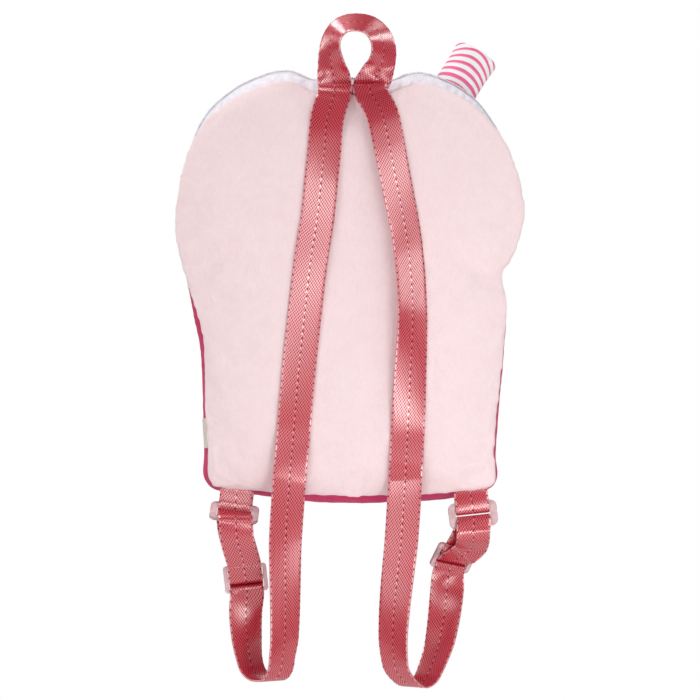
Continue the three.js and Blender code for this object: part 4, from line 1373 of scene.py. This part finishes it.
@dataclass
class Adjusters:
    """The clear plastic rings and sliders at the bottom corners."""

    shop: Workshop
    edge: float = 0.0009

    def build(self) -> None:
        """Makes the two rings and the two sliders."""
        for side in ("left", "right"):
            for part in ("ring", "slider"):
                self.moulding(f"strap_{part}_{side}")

    def moulding(self, node: str) -> None:
        """One moulding, with its edges rounded."""
        piece = Bench.copy_of(self.shop.node(node), f"{node}_clear")

        def ease(_: bmesh.types.BMesh) -> None:
            """Joins each flat face."""
            bpy.ops.mesh.select_all(action="SELECT")
            bpy.ops.mesh.dissolve_limited(angle_limit=math.radians(1))

        Bench.edit(piece, ease)
        Bench.apply(piece, "BEVEL", width=self.edge, segments=3, limit_method="ANGLE", angle_limit=math.radians(40))
        Bench.smooth(piece, 35)
        self.shop.hand_over(piece, Finish.CLEAR, "clear_plastic", node)


@dataclass
class StuffedEar:
    """The one stuffed ear, a striped tube with a soft tip."""

    shop: Workshop
    filling: Filling = Filling(0.0016, pressure=3.0, cap=0.0015)
    side_lean: float = 32.5
    forward_lean: float = 10.0
    base_bow: float = 12.0
    tip_bow: float = 27.0

    def build(self) -> None:
        """Makes the ear."""
        piece = Bench.copy_of(self.shop.node("ear"), "ear_stuffed")
        low, high = (Vector(corner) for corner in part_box("ear"))
        self.filling.even_out(piece)
        lean, forward = math.radians(self.side_lean), math.radians(self.forward_lean)
        axis = Vector(
            (math.sin(lean) * math.cos(forward), math.sin(forward), math.cos(lean) * math.cos(forward))
        )
        side = axis.cross(Vector((0, 1, 0))).normalized()
        middle = (low + high) / 2
        self.filling.swell(piece, lambda place: (place - middle).dot(axis) < -0.018)
        Bench.soften(piece, 1)
        Bench.smooth(piece)

        def cloth(place: Vector) -> tuple[float, float]:
            """Metres across the ear, and along it in arcs that bow towards its tip."""
            off = place - middle
            across = off.dot(side)
            share = smooth_step(-0.006, 0.022, off.dot(axis))
            bow = self.base_bow + share * (self.tip_bow - self.base_bow)
            return across, off.dot(axis) + bow * across * across

        Bench.map_cloth(piece, cloth)
        self.shop.hand_over(piece, Finish.EAR, "striped_fabric", "ear")


@dataclass
class SeamLabel:
    """The blank label caught in the side seam."""

    shop: Workshop

    def build(self) -> None:
        """Makes the label."""
        piece = Bench.copy_of(self.shop.node("side_label"), "side_label_satin")
        Bench.quads(piece)
        Bench.apply(piece, "BEVEL", width=0.00025, segments=2, limit_method="ANGLE", angle_limit=math.radians(50))
        Bench.soften(piece, 2)
        Bench.smooth(piece)
        self.shop.hand_over(piece, Finish.LABEL, "label", "side_label")


@dataclass(frozen=True)
class Softbox:
    """One soft light: its name, its place, its width and height, and its power in watts."""

    name: str
    place: tuple[float, float, float]
    width: float
    height: float
    power: float


@dataclass
class Studio:
    """The camera, the soft lights, the pale surroundings and the floor.

    The wide softboxes light the whole bag. The small ones stand near it, each for one sheen on the satin.
    """

    distance: float = 3.0
    eye_x: float = -0.0015
    eye_z: float = -0.2345
    lens: float = 209.8
    floor_z: float = -0.62
    softboxes: tuple[Softbox, ...] = (
        Softbox("front_left", (-0.90, -2.45, -0.23), 0.8, 0.8, 3.5),
        Softbox("left", (-1.67, -1.99, -0.23), 0.8, 0.8, 4.0),
        Softbox("right", (2.20, -1.30, 0.15), 0.8, 1.2, 1.5),
        Softbox("top_left", (-1.60, -1.35, 1.29), 0.9, 0.8, 7.6),
        Softbox("top_right", (0.83, -0.99, 0.71), 0.5, 0.5, 1.0),
        Softbox("left_rim", (-2.44, 0.43, 0.57), 0.8, 0.8, 14.0),
        Softbox("overhead", (-0.41, 0.07, 1.31), 0.6, 0.5, 8.0),
        Softbox("right_overhead", (1.47, 0.26, 1.90), 0.8, 0.8, 8.0),
        Softbox("rear", (0.40, 2.20, 0.60), 1.6, 1.2, 12.0),
        Softbox("sheen_strap_left_high", (-0.09, -0.50, -0.05), 0.10, 0.10, 0.22),
        Softbox("sheen_strap_left_low", (-0.10, -0.81, -0.23), 0.10, 0.10, 0.44),
        Softbox("sheen_strap_right_high", (0.50, -0.43, 0.07), 0.10, 0.10, 0.30),
        Softbox("sheen_strap_right_low", (0.76, -0.37, -0.10), 0.10, 0.10, 0.36),
        Softbox("sheen_tab_right", (0.19, -0.78, -0.24), 0.10, 0.10, 0.09),
        Softbox("sheen_rise_left_near", (0.22, -0.55, -0.47), 0.18, 0.16, 0.60),
        Softbox("sheen_rise_left_far", (0.38, -0.50, -0.43), 0.16, 0.16, 0.25),
        Softbox("sheen_rise_right_high", (0.34, -0.57, 0.05), 0.10, 0.10, 0.40),
        Softbox("sheen_rise_right_low", (-0.44, -0.42, 0.00), 0.10, 0.10, 0.20),
        Softbox("sheen_loop_left", (-0.37, 0.28, 0.46), 0.14, 0.14, 0.80),
        Softbox("sheen_loop_right", (0.62, 0.09, 0.22), 0.14, 0.14, 0.70),
    )

    def build(self) -> None:
        """Sets up the whole studio."""
        self.camera()
        self.surroundings()
        self.floor()
        for softbox in self.softboxes:
            self.light(softbox)

    def camera(self) -> None:
        """The camera, level, at the photograph's angle."""
        data = bpy.data.cameras.new("camera")
        data.lens = self.lens
        data.sensor_width = 36.0
        data.clip_end = 50.0
        camera = bpy.data.objects.new("camera", data)
        camera.location = (self.eye_x, -self.distance - 0.005, self.eye_z)
        camera.rotation_euler = (math.pi / 2, 0, 0)
        bpy.context.scene.collection.objects.link(camera)
        bpy.context.scene.camera = camera

    def surroundings(self) -> None:
        """White for what the camera sees, and a softer pale light on the bag."""
        bpy.context.scene.view_settings.view_transform = "Standard"
        world = bpy.data.worlds.new("surroundings")
        world.use_nodes = True
        tree = world.node_tree
        tree.nodes.clear()
        path = tree.nodes.new("ShaderNodeLightPath")
        seen = tree.nodes.new("ShaderNodeMath")
        seen.operation = "MAXIMUM"
        tree.links.new(path.outputs["Is Camera Ray"], seen.inputs[0])
        tree.links.new(path.outputs["Is Transmission Ray"], seen.inputs[1])
        soft = tree.nodes.new("ShaderNodeBackground")
        soft.inputs["Color"].default_value = (1.0, 0.985, 0.98, 1.0)
        soft.inputs["Strength"].default_value = 0.13
        white = tree.nodes.new("ShaderNodeBackground")
        white.inputs["Color"].default_value = (1.0, 1.0, 1.0, 1.0)
        white.inputs["Strength"].default_value = 1.0
        chosen = tree.nodes.new("ShaderNodeMixShader")
        tree.links.new(seen.outputs[0], chosen.inputs[0])
        tree.links.new(soft.outputs[0], chosen.inputs[1])
        tree.links.new(white.outputs[0], chosen.inputs[2])
        output = tree.nodes.new("ShaderNodeOutputWorld")
        tree.links.new(chosen.outputs[0], output.inputs["Surface"])
        bpy.context.scene.world = world

    def floor(self) -> None:
        """A plain pale floor below the hanging bag."""
        Bench.clear()
        bpy.ops.mesh.primitive_circle_add(vertices=96, radius=1.15, fill_type="NGON", location=(0, 0, self.floor_z))
        floor = bpy.context.object
        floor.name = "studio_floor"
        Bench.lay_at_origin(floor)
        floor.data.materials.append(Moulded("floor_paper", srgb(246, 244, 243), srgb(240, 238, 237), 0.8).made())
        floor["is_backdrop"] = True

    def light(self, softbox: Softbox) -> None:
        """Sets up a softbox, facing the bag's middle."""
        data = bpy.data.lights.new(softbox.name, "AREA")
        data.shape = "RECTANGLE"
        data.size = softbox.width
        data.size_y = softbox.height
        data.energy = softbox.power
        light = bpy.data.objects.new(softbox.name, data)
        light.location = softbox.place
        facing = Vector((0, 0, self.eye_z)) - light.location
        light.rotation_euler = facing.to_track_quat("-Z", "Y").to_euler()
        light.visible_camera = False
        bpy.context.scene.collection.objects.link(light)


def corners(box: tuple[Vector, Vector]) -> list[list[float]]:
    """A box as plain lists of numbers."""
    return [[round(c, 6) for c in corner] for corner in box]


def main() -> None:
    """Builds the studio and every sub-assembly in order."""
    logging.basicConfig(level=logging.INFO, format="%(message)s")
    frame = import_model()
    Bench.clear()
    cad_box = corners(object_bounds())
    shop = Workshop(frame)
    Studio().build()
    for part in (PaddedPanels, SideCloth, TopZip, Webbing, Adjusters, StuffedEar, SeamLabel):
        log.info("-- %s", part.__name__)
        part(shop).build()
    {"cad": cad_box, "visual": corners(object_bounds())}


if __name__ == "__main__":
    main()
